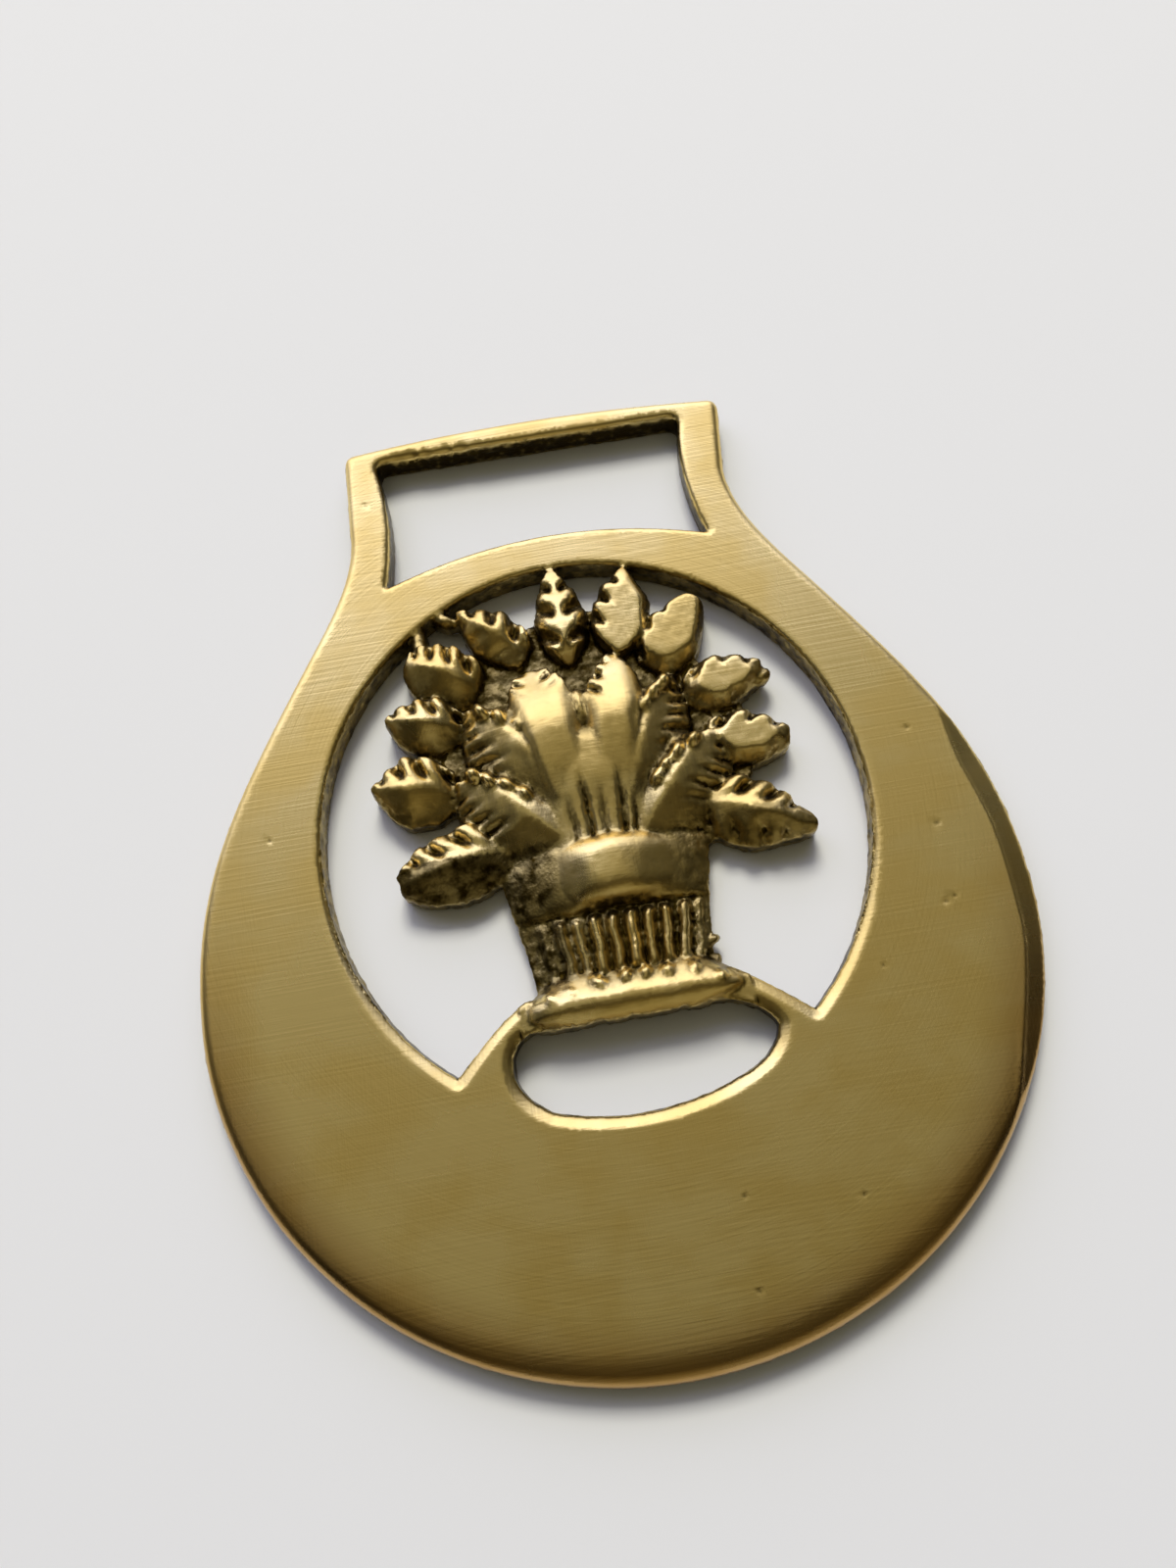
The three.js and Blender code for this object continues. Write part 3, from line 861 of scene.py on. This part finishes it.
def outer_edge_drop(x, y, gap):
    """The outer edge's round, its filed chamfer with a full border, and the lower rim's crown."""
    around = math.degrees(math.atan2(x, y))
    filed = smooth_step(FILED_FROM, FILED_FULL, around) * smooth_step(FILED_TO, FILED_FADES, around)
    wander = 1 + 0.25 * noise.noise(Vector((around * 0.09, 0, 0)))
    drop = rounded_drop(gap, blend(0.95, 1.3, smooth_step(10, -20, y)))
    drop = max(drop, chamfer_drop(gap, 0.3 + FILED_WIDTH * filed * wander, FILED_DEPTH * filed))
    off_border = (gap - BORDER_PLACE * filed * wander) / BORDER_WIDTH
    drop -= BORDER_FULLNESS * filed * math.exp(-off_border ** 2)
    return drop + CROWN_DEPTH * smooth_step(CROWN_WIDTH, 0, gap) ** 2 * smooth_step(-14, -36, y)


print("the filed edge has dropped", round(outer_edge_drop(36.5, -12, 1.0), 2), "mm, 1 mm in")

# %% [markdown]
# The two openings round the figure have narrow chamfers that grow wider toward the bottom, where the
# polishing wheel reached them. The slot's edge is rounded, and chipped under the bar. A few gas pits, which
# every sand casting has, are shallow bowls in the face. The deepest of these drops is the one that counts.

# %% The whole plate
SLOT_ROUND, CHIP_SIZE = 0.5, 1.3
PIT_DEPTH = 0.06
PITS = [
    (29.9, 3.6, 0.3), (30.3, -5.7, 0.28), (29.3, -12.8, 0.34), (30.2, -12.4, 0.26), (22.6, -17.3, 0.2),
    (6.9, -33.9, 0.22), (6.6, -41.2, 0.28), (-29.6, 3.5, 0.22), (-16.9, 36.2, 0.3), (16.6, -35.4, 0.2),
]


def slot_edge_drop(x, y, gap):
    """The slot's rounded edge, with chips in the bar on the left."""
    chipped = smooth_step(-15, -13, x) * smooth_step(-4.5, -6, x) * smooth_step(39.0, 40.3, y)
    chips = chipped * abs(noise.noise(Vector((x * 0.5, 3.7, 0)))) * CHIP_SIZE
    return rounded_drop(gap, SLOT_ROUND + chips)


def plate_drop(x, y):
    """How much lower than its flat the plate's face is at a place, and how near the nearest edge is."""
    gaps = [distance(tree, x, y) for tree in (outer_tree, slot_tree, opening_tree, small_tree)]
    low = smooth_step(8, -30, y)
    drop = max(outer_edge_drop(x, y, gaps[0]), slot_edge_drop(x, y, gaps[1]))
    drop = max(drop, chamfer_drop(gaps[2], blend(0.2, 1.15, low), blend(0.12, 0.54, low)))
    drop = max(drop, chamfer_drop(gaps[3], blend(0.35, 1.1, low), blend(0.1, 0.52, low)))
    for pit_x, pit_y, size in PITS:
        gap = math.hypot((x - pit_x) * 0.8, y - pit_y) / size
        if gap < 1:
            drop += PIT_DEPTH * (1 - gap * gap)
    return drop, min(gaps)


print("beside the filed edge the face is", round(plate_drop(36.5, -12)[0], 2), "mm lower")

# %% [markdown]
# The remeshed skin has steps the size of its voxels. Smoothing takes them off: twice everywhere, which
# keeps the grains crisp, and four times more on the plate, whose flats have to shine evenly.

# %% Smooth the skin
STRUT_FOOT_Y, STRUT_LEFT, STRUT_RIGHT = -14.2, -9.4, 11.2


def in_opening(x, y):
    """Whether a place is inside the ring and above the struts, where the figure stands."""
    strut = y < STRUT_FOOT_Y and not STRUT_LEFT < x < STRUT_RIGHT
    inside = (x / OPENING[0]) ** 2 + (y / OPENING[1]) ** 2 < 1
    return inside and y > FOOT_UNDERSIDE_Y - 1 and not strut


def smooth(verts, times):
    for step in range(times):
        bmesh.ops.smooth_vert(
            work, verts=verts, factor=0.5, use_axis_x=True, use_axis_y=True, use_axis_z=True
        )


work = bmesh.new()
work.from_mesh(brass.data)
smooth(work.verts[:], 2)
of_plate = [v for v in work.verts if not in_opening(v.co.x, v.co.y)]
smooth(of_plate, 4)
work.normal_update()
print(len(of_plate), "of", len(work.verts), "points are the plate's")

# %% [markdown]
# Polish reaches what stands proud and misses what lies low. To tell one from the other, the metal's mean
# height is worked out round every cell of a half millimetre grid, and later each point is compared to it.

# %% The lie of the land
CELL = 0.5
WIDE = 5
GRID_MIDDLE = 200


def cell_of(x, y):
    return int(x / CELL + GRID_MIDDLE), int(y / CELL + GRID_MIDDLE)


def high_ground(points):
    """The mean height of the metal round each cell."""
    tops = {}
    for p in points:
        key = cell_of(p.x, p.y)
        tops[key] = max(tops.get(key, 0.0), p.z)
    steps = range(-WIDE, WIDE + 1)
    circle = [(a, b) for a in steps for b in steps if a * a + b * b <= WIDE * WIDE]
    ground = {}
    for column, line in tops:
        near = [tops.get((column + a, line + b), WEB_THICKNESS) for a, b in circle]
        ground[column, line] = sum(near) / len(near)
    return ground


ground = high_ground([v.co for v in work.verts if v.co.z > 1 and in_opening(v.co.x, v.co.y)])
print("the figure's mean height runs up to", round(max(ground.values()), 2), "mm")

# %% [markdown]
# Now the plate is filed: its points drop by what was taken off, and its walls get the wavy, grainy skin
# that sand leaves. Three things are noted for each point on the way: whether it is plain enough to be
# thinned out later, how much cast skin it still has, and how much painted shade darkens the inner walls
# of the openings, most toward their foot.

# %% File a point of the plate
FACE_Z = PLATE_THICKNESS - 0.1
FLAT_GAP = 1.4
FLAT_DROP = 0.0003
WALL_RUB = 0.07
WALL_SHADE = 0.09
plain, cast_skin_and_shade, wall_shade = {}, {}, {}


def even_noise(x, y, z, size):
    """Noise from about -1 to 1 with features about as large as size, in millimetres."""
    return noise.fractal(Vector((x, y, z)) / size, 0.8, 2.0, 2)


def near_pit(x, y):
    return any(math.hypot(x - pit_x, y - pit_y) < size + 0.8 for pit_x, pit_y, size in PITS)


def work_plate_point(v):
    x, y, z = v.co
    drop, gap = plate_drop(x, y)
    wall = v.normal.z < 0.5
    below_figure = smooth_step(PLATE_THICKNESS + 0.4, PLATE_THICKNESS + 0.05, z)
    v.co.z = z - drop * below_figure * z / PLATE_THICKNESS
    flat = gap > FLAT_GAP and z > FACE_Z and abs(drop) < FLAT_DROP and not near_pit(x, y)
    by_slots = min(distance(slot_tree, x, y), distance(small_tree, x, y)) <= 1.5
    side = wall and 0.5 < z < 2.3 and not by_slots
    plain[v.index] = flat or side
    cast_skin_and_shade[v.index] = smooth_step(0.6, 0.2, v.normal.z)
    if wall:
        v.co += v.normal * WALL_RUB * even_noise(x, y, z, 1.1)
        # Painted shade: the inner walls of the openings are darkened, most toward their foot.
        if distance(outer_tree, x, y) > 1.5:
            wall_shade[v.index] = WALL_SHADE * smooth_step(0.0, 0.5, gap + PLATE_THICKNESS + 0.4 - z)


print("sand leaves walls rough by", WALL_RUB, "mm")

# %% [markdown]
# The figure was polished on its high places only, so its skin is rougher where it lies low and where it
# is sheltered. The flanks of the tie and the stub are darkened as well, the left one more than the right:
# that is painted shade, for sides that turn away from the light. The back lies on the sand's flat side
# and stays as it was cast.

# %% Roughen the figure, and work every point
FIGURE_RUB, FINE_RUB = 0.09, 0.05
BACK_SKIN = 0.8


def work_figure_point(v):
    x, y, z = v.co
    wall = v.normal.z < 0.5
    low_metal = smooth_step(3.9, 2.3, z)
    rub = FIGURE_RUB * even_noise(x, y, z, 0.8) + FINE_RUB * even_noise(x, y, z + 40, 0.4)
    v.co += v.normal * rub * blend(0.18, 1.0, low_metal)
    shelter_and_flank_shade = smooth_step(0.15, -0.95, z - ground.get(cell_of(x, y), z))
    # Painted shade: the flanks of the tie and the stub count as dark skin, the left one fully and the right
    # one in part.
    if -14 < y < TIE_TOP_Y:
        flank_shade = max(smooth_step(-2.4, -5.0, x), 0.6 * smooth_step(4.5, 8.0, x))
        shelter_and_flank_shade = max(shelter_and_flank_shade, flank_shade)
    plain[v.index] = False
    cast_skin_and_shade[v.index] = max(0.6 * low_metal, shelter_and_flank_shade, 0.9 if wall else 0.0)


for v in work.verts:
    if v.co.z < 0.1:
        plain[v.index], cast_skin_and_shade[v.index] = True, BACK_SKIN
    elif in_opening(v.co.x, v.co.y):
        work_figure_point(v)
    else:
        work_plate_point(v)
    v.co.z = max(0.0, v.co.z)
print(sum(plain.values()), "points lie on plain metal")

# %% [markdown]
# Between the plain flats and the worked edges a fringe a few points wide is kept whole. Without it the
# thinning would draw long triangles from a tilted edge into the flat, and each would show as a smudge.

# %% The fringe of the flats
FRINGE_RINGS = 4
fringe = set()
for ring in range(FRINGE_RINGS):
    border = [e.verts for e in work.edges if plain[e.verts[0].index] != plain[e.verts[1].index]]
    for a, b in border:
        if a.co.z > FACE_Z:
            plain[a.index] = plain[b.index] = False
            fringe.update((a.index, b.index))
print("the fringe has", len(fringe), "points")

# %% [markdown]
# Dirt and patina sit in hollows. How hollow a place is shows when a copy of the skin is smoothed a good
# deal: in a groove the smooth skin lies above the real one, and on a grain it lies below. Baked ambient
# occlusion would say much the same, but it is an image, and this is one number for each point.

# %% How hollow each place is
worked = [v.co.copy() for v in work.verts]
out_of = [v.normal.copy() for v in work.verts]
smooth(work.verts[:], 14)
hollow_and_shade = [(v.co - p).dot(n) for v, p, n in zip(work.verts, worked, out_of)]
# The painted shade of the inner walls is added to how hollow they are.
hollow_and_shade = [depth + wall_shade.get(n, 0.0) for n, depth in enumerate(hollow_and_shade)]
for v, p in zip(work.verts, worked):
    v.co = p
work.to_mesh(brass.data)
work.free()
brass.data.update()
print("hollows from", round(min(hollow_and_shade), 2), "to", round(max(hollow_and_shade), 2), "mm")

# %% [markdown]
# ## Thinning the skin
# The flats need few triangles and the edges and the figure many. A vertex group tells the Decimate
# modifier where to start: the plain points weigh fully, the carved ones a little, and the fringe not at
# all, so that it stays as it is.

# %% Thin the skin where it is plain
TRIANGLE_LIMIT = 190_000
fine = brass.data
fine_tree = kdtree.KDTree(len(fine.vertices))
for v in fine.vertices:
    fine_tree.insert(v.co, v.index)
fine_tree.balance()
fine_normals = [v.normal.copy() for v in fine.vertices]
group = brass.vertex_groups.new(name="plain")
group.add([n for n in plain if n not in fringe], 0.02, "REPLACE")
group.add([n for n in plain if plain[n]], 1.0, "REPLACE")
thin = brass.modifiers.new("thin", "DECIMATE")
thin_ratio = min(1.0, TRIANGLE_LIMIT / (2 * len(fine.polygons)))
thin.ratio = thin_ratio
thin.vertex_group = "plain"
thin.vertex_group_factor = 10.0
settle(brass)
brass.vertex_groups.clear()
print("thinned to", round(100 * thin_ratio), "% of the triangles")

# %% [markdown]
# The thinned skin takes its shading from the fine one: each point is given the normal of the nearest fine
# point, so large triangles on a flat still shine evenly. The two numbers that the material needs, cast
# skin and hollow, each with some painted shade added, go into named attributes the same way.

# %% Keep the fine skin's shading and notes
nearest = [fine_tree.find(v.co)[1] for v in brass.data.vertices]
for name, noted in (("cast_skin_and_shade", cast_skin_and_shade), ("hollow_and_shade", hollow_and_shade)):
    attribute = brass.data.attributes.new(name, "FLOAT", "POINT")
    attribute.data.foreach_set("value", [noted[n] for n in nearest])
for polygon in brass.data.polygons:
    polygon.use_smooth = True
brass.data.normals_split_custom_set_from_vertices([fine_normals[n] for n in nearest])
brass.data.transform(to_frame)
print("kept the shading of", len(nearest), "points")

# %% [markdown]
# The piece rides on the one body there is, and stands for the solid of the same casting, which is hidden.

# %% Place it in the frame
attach(brass, "root")
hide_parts("horse_brass")
print("the piece has", len(brass.data.polygons), "faces in the frame")

# %% [markdown]
# ## Aged cast brass
# Yellow brass is about two parts of copper to one of zinc. Polished by hand for many years, it keeps a
# soft shine and fine scratches on the high places, while a dark olive-brown patina stays in the hollows
# and on the rough cast walls. All of it is one metal, so it is one material: two noted numbers and a few
# patterns in millimetres decide how dark and how rough each place is. Some of that dark is painted shade,
# worked out like the rest: on the inner walls of the openings, on the flanks of the tie and the stub, and
# along the lower rim. Nothing is painted by hand.

# %% Colours and nodes
def srgb(code):
    """Linear red, green and blue from an sRGB hex value."""
    parts = [int(code[n:n + 2], 16) / 255 for n in (1, 3, 5)]
    return [p / 12.92 if p <= 0.04045 else ((p + 0.055) / 1.055) ** 2.4 for p in parts] + [1.0]


def add(tree, kind, settings=None, links=None):
    """Adds a node, with values for its properties and sockets and links to the nodes that feed it."""
    node = tree.nodes.new("ShaderNode" + kind)
    for key, value in (settings or {}).items():
        if isinstance(key, str) and hasattr(node, key):
            setattr(node, key, value)
        else:
            node.inputs[key].default_value = value
    for key, source in (links or {}).items():
        socket = source.outputs[0] if hasattr(source, "outputs") else source
        tree.links.new(socket, node.inputs[key])
    return node


# The eye sees warm yellow metal that mirrors the room softly, dark where no cloth could reach and where
# shade is painted in.
metal = bpy.data.materials.new("aged_cast_brass")
metal.use_nodes = True
tree = metal.node_tree
tree.nodes.clear()
print("made", metal.name)

# %% [markdown]
# The patterns lie on the piece's own coordinates, turned to the drawing's millimetres. The round ones lie
# on polar coordinates, distance from the middle and angle, so they can run round the ring.

# %% Where a place is on the piece
to_mm = {"Scale": (1 / MM, 1 / MM, 1 / MM), "Location": (0, -opening_middle_y, 0)}
where = add(tree, "TexCoord").outputs["Object"]
place = add(tree, "Mapping", to_mm, {"Vector": where})
split = add(tree, "SeparateXYZ", links={"Vector": place})
x_mm, y_mm = split.outputs["X"], split.outputs["Y"]
turn = add(tree, "Math", {"operation": "ARCTAN2"}, {0: x_mm, 1: y_mm})
flattened = add(tree, "Mapping", {"Scale": (1, 1, 0)}, {"Vector": place})
radius = add(tree, "VectorMath", {"operation": "LENGTH"}, {0: flattened}).outputs["Value"]
polar = add(tree, "CombineXYZ", links={"X": radius, "Y": turn})
skin_and_shade_share = add(tree, "Attribute", {"attribute_name": "cast_skin_and_shade"}).outputs["Fac"]
hollow_and_shade_mm = add(tree, "Attribute", {"attribute_name": "hollow_and_shade"}).outputs["Fac"]
print("the places are ready after", len(tree.nodes), "nodes")

# %% [markdown]
# Every pattern is a noise, stretched by the size of its features in millimetres. The real scratches are
# finer than a tenth of a millimetre. Here they are as coarse as a quarter of one, which is the finest
# that still shows from the camera's distance.

# %% Patterns
PATTERNS = {
    # name: (what it lies on, feature size in mm along each axis, detail, offset)
    "clouds": (place, (9.1, 7.1, 10.0), 4.0, 0.0),
    "specks": (place, (1.11, 1.11, 1.11), 3.0, 7.0),
    "round scratches": (polar, (0.222, 0.4, 1.0), 3.0, 0.0),
    "level scratches": (place, (14.3, 0.25, 3.3), 3.0, 3.0),
    "upright scratches": (place, (0.25, 11.1, 3.3), 3.0, 5.0),
    "cast skin": (place, (0.2857, 0.2857, 0.2857), 4.0, 0.0),
}
pattern = {}
for name, (lies_on, sizes, detail, offset) in PATTERNS.items():
    stretch = {"Scale": [1 / size for size in sizes], "Location": (offset, offset, offset)}
    stretched = add(tree, "Mapping", stretch, {"Vector": lies_on})
    pattern[name] = add(tree, "TexNoise", {"Scale": 1.0, "Detail": detail}, {"Vector": stretched})
print("made", len(pattern), "patterns")

# %% [markdown]
# Bare brass differs a little from place to place, in clouds up to a centimetre wide. Toward the lower rim
# it is painted brown, as painted shade: the crowned rim mirrors the dim side of the room, and the brown
# deepens that. How near the rim a place is comes from the crescent's own half width and depth, so the
# painted shade follows its curve.

# %% Bare metal, and painted shade at the rim
RIM_SHADE_FROM, RIM_SHADE_SHARE = 0.82, 0.7
crescent_depth = WIDEST_Y - PLATE_BOTTOM_Y
to_rim = {
    "Scale": (1 / HALF_WIDTH, 1 / crescent_depth, 0),
    "Location": (0, -WIDEST_Y / crescent_depth, 0),
}
soft = {"interpolation_type": "SMOOTHSTEP"}
cloudy = add(tree, "MapRange", {**soft, "From Min": 0.35, "From Max": 0.65}, {"Value": pattern["clouds"]})
bare = add(tree, "Mix", {"data_type": "RGBA", 6: srgb("#F3DA92"), 7: srgb("#E8CA78")}, {0: cloudy})
on_crescent = add(tree, "Mapping", to_rim, {"Vector": place})
reach = add(tree, "VectorMath", {"operation": "LENGTH"}, {0: on_crescent}).outputs["Value"]
rim = add(tree, "MapRange", {**soft, "From Min": RIM_SHADE_FROM, "From Max": 1.0}, {"Value": reach})
lower = add(tree, "MapRange", {**soft, "From Min": 0.0, "From Max": -26.0}, {"Value": y_mm})
lower_rim = add(tree, "Math", {"operation": "MULTIPLY"}, {0: rim, 1: lower})
# Painted shade: toward the lower rim the colour is mixed with brown.
rim_shade = add(tree, "Math", {"operation": "MULTIPLY", 1: RIM_SHADE_SHARE}, {0: lower_rim})
rim_shaded = add(
    tree, "Mix", {"data_type": "RGBA", 7: srgb("#9A6A30")}, {0: rim_shade, 6: bare.outputs[2]}
)
print("the rim browns over its last", round((1 - RIM_SHADE_FROM) * crescent_depth, 1), "mm")

# %% [markdown]
# The patina fills the hollows, from nothing on the open face to full at about a tenth of a millimetre
# deep, and it lies unevenly on the cast skin, in specks. The same dark colour is also painted shade, on
# the inner walls of the openings and on the flanks of the tie and the stub, which ride in the same two
# numbers.

# %% Patina and painted shade
# The hollow number also holds the painted shade of the inner walls.
deep_and_wall_shade = add(tree, "MapRange", {**soft, "From Min": -0.01, "From Max": 0.09}, {"Value": hollow_and_shade_mm})
specked = {"From Min": 0.35, "From Max": 0.7, "To Min": 0.65, "To Max": 1.0}
uneven = add(tree, "MapRange", {**soft, **specked}, {"Value": pattern["specks"]})
# The cast skin share also holds the painted shade of the tie's and stub's flanks.
skin_and_shade_dark = add(tree, "Math", {"operation": "MULTIPLY"}, {0: skin_and_shade_share, 1: uneven})
dark = add(tree, "Math", {"operation": "MAXIMUM"}, {0: deep_and_wall_shade, 1: skin_and_shade_dark})
colour = add(
    tree, "Mix", {"data_type": "RGBA", 7: srgb("#382B08")}, {0: dark, 6: rim_shaded.outputs[2]}
).outputs[2]
print("the colour is ready after", len(tree.nodes), "nodes")

# %% [markdown]
# The shine is that of hand-polished metal: neither a mirror nor satin. It is a little duller in some of
# the clouds and on the cast skin.

# %% Shine
CAST_DULLNESS = 0.05
shiny = {"From Min": 0.3, "From Max": 0.7, "To Min": 0.25, "To Max": 0.33}
polish = add(tree, "MapRange", {**soft, **shiny}, {"Value": pattern["clouds"]})
dulled = add(tree, "Math", {"operation": "MULTIPLY", 1: CAST_DULLNESS}, {0: skin_and_shade_share})
roughness = add(tree, "Math", {"operation": "ADD"}, {0: polish, 1: dulled})
print("roughness runs from", shiny["To Min"], "to", shiny["To Max"] + CAST_DULLNESS)

# %% [markdown]
# A polishing rag and an emery stick leave fine scratches round the ring, along the bar and up the sides.
# They are far too shallow for geometry, so they are a bump, and so is the last grain of the cast skin.

# %% Scratches and cast skin
SCRATCH_DEPTH, SKIN_DEPTH = 0.022 * MM, 0.06 * MM
round_part = add(tree, "Math", {"operation": "MULTIPLY", 1: 0.8}, {0: pattern["round scratches"]})
scratches = add(tree, "Math", {"operation": "ADD"}, {0: round_part, 1: pattern["level scratches"]})
scratches = add(tree, "Math", {"operation": "ADD"}, {0: scratches, 1: pattern["upright scratches"]})
rubbed = add(tree, "Math", {"operation": "SUBTRACT", 0: 1.0}, {1: skin_and_shade_share})
scratches = add(tree, "Math", {"operation": "MULTIPLY"}, {0: scratches, 1: rubbed})
skin = add(tree, "Math", {"operation": "MULTIPLY"}, {0: pattern["cast skin"], 1: skin_and_shade_share})
scratched = add(tree, "Bump", {"Strength": 0.6, "Distance": SCRATCH_DEPTH}, {"Height": scratches})
grainy = add(
    tree, "Bump", {"Strength": 0.8, "Distance": SKIN_DEPTH}, {"Height": skin, "Normal": scratched}
)
print("scratches are", round(SCRATCH_DEPTH / MM, 3), "mm deep")

# %% [markdown]
# All of it meets in one Principled shader, fully metallic, because patina this thin still shines.

# %% The finished metal
shader = add(
    tree, "BsdfPrincipled", {"Metallic": 1.0},
    {"Base Color": colour, "Roughness": roughness, "Normal": grainy},
)
add(tree, "OutputMaterial", links={"Surface": shader})
brass.data.materials.clear()
brass.data.materials.append(metal)
print(metal.name, "has", len(tree.nodes), "nodes")

# %% [markdown]
# ## The studio
# The brass lies on a plain pale floor of matt plaster, wide enough to fill the view.

# %% Floor
FLOOR_HALF = 0.6
floor_bm = bmesh.new()
bmesh.ops.create_grid(floor_bm, x_segments=1, y_segments=1, size=FLOOR_HALF)
floor = as_object("floor", floor_bm)
plaster = bpy.data.materials.new("pale_floor")
plaster.use_nodes = True
plaster_shader = plaster.node_tree.nodes["Principled BSDF"]
plaster_shader.inputs["Base Color"].default_value = srgb("#E9EAE9")
plaster_shader.inputs["Roughness"].default_value = 0.8
floor.data.materials.append(plaster)
floor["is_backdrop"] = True
print("the floor is", 2 * FLOOR_HALF, "m wide")

# %% [markdown]
# One soft window beyond the hanger gives the shadows. It is hidden from reflections, because the room
# below already shows the brass a window, and two of them would double every highlight.

# %% The window's light
WINDOW_PLACE = Vector((0.09, 1.5, 1.5))
window_lamp = bpy.data.lights.new("window", "AREA")
window_lamp.shape = "RECTANGLE"
window_lamp.size, window_lamp.size_y = 0.67, 0.56
window_lamp.energy = 33.0
window_lamp.color = srgb("#FFFBE6")[:3]
window = bpy.data.objects.new("window", window_lamp)
window.location = WINDOW_PLACE
window.rotation_euler = (-WINDOW_PLACE).to_track_quat("-Z", "Y").to_euler()
window.visible_glossy = False
bpy.context.scene.collection.objects.link(window)
print("the window is", round(WINDOW_PLACE.length, 2), "m away")

# %% [markdown]
# Polished brass shows the room more than its own colour. The room is bright on the window's side and dim
# above and behind, and its even fall from light to dark is what turns the plate from cream at the hanger
# to brown at the rim. A colour ramp along each direction is enough for that, so no image is needed. Each
# row is a share of the direction, a level of light and its tint.

# %% The room that the brass mirrors
WINDOW_TURN = 8
WOOD, WALL, DAY, PLAIN = "#FFE9A8", "#FFF9DC", "#DCDEFF", "#FFFFFF"
TO_WINDOW = [
    (-1.0, 0.35, WALL), (-0.8, 0.14, WOOD), (-0.64, 0.05, WOOD), (-0.34, 0.08, WOOD), (-0.17, 0.27, WALL),
    (0.0, 0.28, WALL), (0.2, 0.31, WALL), (0.36, 0.42, WALL), (0.46, 1.1, DAY), (0.55, 2.3, DAY),
    (0.7, 2.7, DAY), (0.85, 2.4, DAY), (1.0, 1.6, DAY),
]
TO_SIDES = [(0.0, 1.0, PLAIN), (0.4, 1.0, PLAIN), (0.8, 0.15, PLAIN), (1.0, 0.4, PLAIN)]
brightest = max(level for share, level, tint in TO_WINDOW)
world = bpy.data.worlds.new("room")
world.use_nodes = True
sky = world.node_tree


def light_along(direction, rows, full_level):
    """The room's colour along a direction. Levels are shares of full_level, as a ramp stops at 1."""
    nearest_share = rows[0][0]
    settings = {"From Min": nearest_share, "From Max": 1.0}
    along = add(sky, "MapRange", settings, {"Value": direction})
    ramp = add(sky, "ValToRGB", links={"Fac": along})
    stops = ramp.color_ramp.elements
    for n, (share, level, tint) in enumerate(rows):
        stop = stops[n] if n < 2 else stops.new(1.0)
        stop.position = (share - nearest_share) / (1.0 - nearest_share)
    for stop, (share, level, tint) in zip(stops, rows):
        stop.color = [part * level / full_level for part in srgb(tint)[:3]] + [1.0]
    return ramp


print("the room's brightest wall is", brightest, "times white")

# %% [markdown]
# The two falls are multiplied: how bright the room is toward the window, and how it dims to either side.
# The whole room is turned a few degrees, as the window doesn't stand square to the brass.

# %% The room's nodes
view_out = add(sky, "TexCoord").outputs["Generated"]
turned = add(sky, "Mapping", {"Rotation": (0, 0, math.radians(-WINDOW_TURN))}, {"Vector": view_out})
axes = add(sky, "SeparateXYZ", links={"Vector": turned})
aside = add(sky, "Math", {"operation": "ABSOLUTE"}, {0: axes.outputs["X"]})
front = light_along(axes.outputs["Y"], TO_WINDOW, brightest)
sides = light_along(aside, TO_SIDES, 1.0)
strength = add(sky, "Math", {"operation": "MULTIPLY", 1: brightest}, {0: sides})
room = add(sky, "Background", links={"Color": front, "Strength": strength})
print("the room has", len(sky.nodes), "nodes")

# %% [markdown]
# The camera itself sees a plain pale backdrop where the floor ends, and only the brass sees the room.

# %% Backdrop and colours
backdrop = add(sky, "Background", {"Color": srgb("#DEDFDE"), "Strength": 1.0})
seen = add(sky, "LightPath").outputs["Is Camera Ray"]
both = add(sky, "MixShader", links={0: seen, 1: room, 2: backdrop})
sky.links.new(both.outputs[0], sky.nodes["World Output"].inputs["Surface"])
bpy.context.scene.world = world
bpy.context.scene.view_settings.view_transform = "Standard"
print("the backdrop is seen by the camera alone")

# %% [markdown]
# The camera looks down on the brass from its lower end. It is only eleven centimetres away and has a wide
# lens, so the near rim looks larger than the hanger. It is rolled a little, and the hanger leans left.

# %% Camera
EYE_Y, EYE_ABOVE_FACE = -27.54, 103.53
TARGET_X, TARGET_Y = 0.12, 3.54
ROLL = -9.88
camera_data = bpy.data.cameras.new("camera")
camera_data.lens = 27
camera_data.sensor_width = 36
camera_data.clip_start = 0.005
camera = bpy.data.objects.new("camera", camera_data)
eye = Vector((0.0, EYE_Y, EYE_ABOVE_FACE + PLATE_THICKNESS))
target = Vector((TARGET_X, TARGET_Y, PLATE_THICKNESS))
aim = (target - eye).to_track_quat("-Z", "Y").to_matrix().to_4x4()
roll = Matrix.Rotation(math.radians(ROLL), 4, "Z")
camera.matrix_world = Matrix.Translation(to_frame @ eye) @ aim @ roll
bpy.context.scene.collection.objects.link(camera)
bpy.context.scene.camera = camera
print("the camera is", round((target - eye).length), "mm from the brass")

# %% [markdown]
# Last, the sizes of the solid and of the finished piece are put side by side, and the finished size is
# printed.

# %% Sizes and finish
low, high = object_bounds()
sizes = {"cad": [list(cad_low), list(cad_high)], "visual": [list(low), list(high)]}
print("the finished piece measures", [round(side / MM, 1) for side in high - low], "mm")
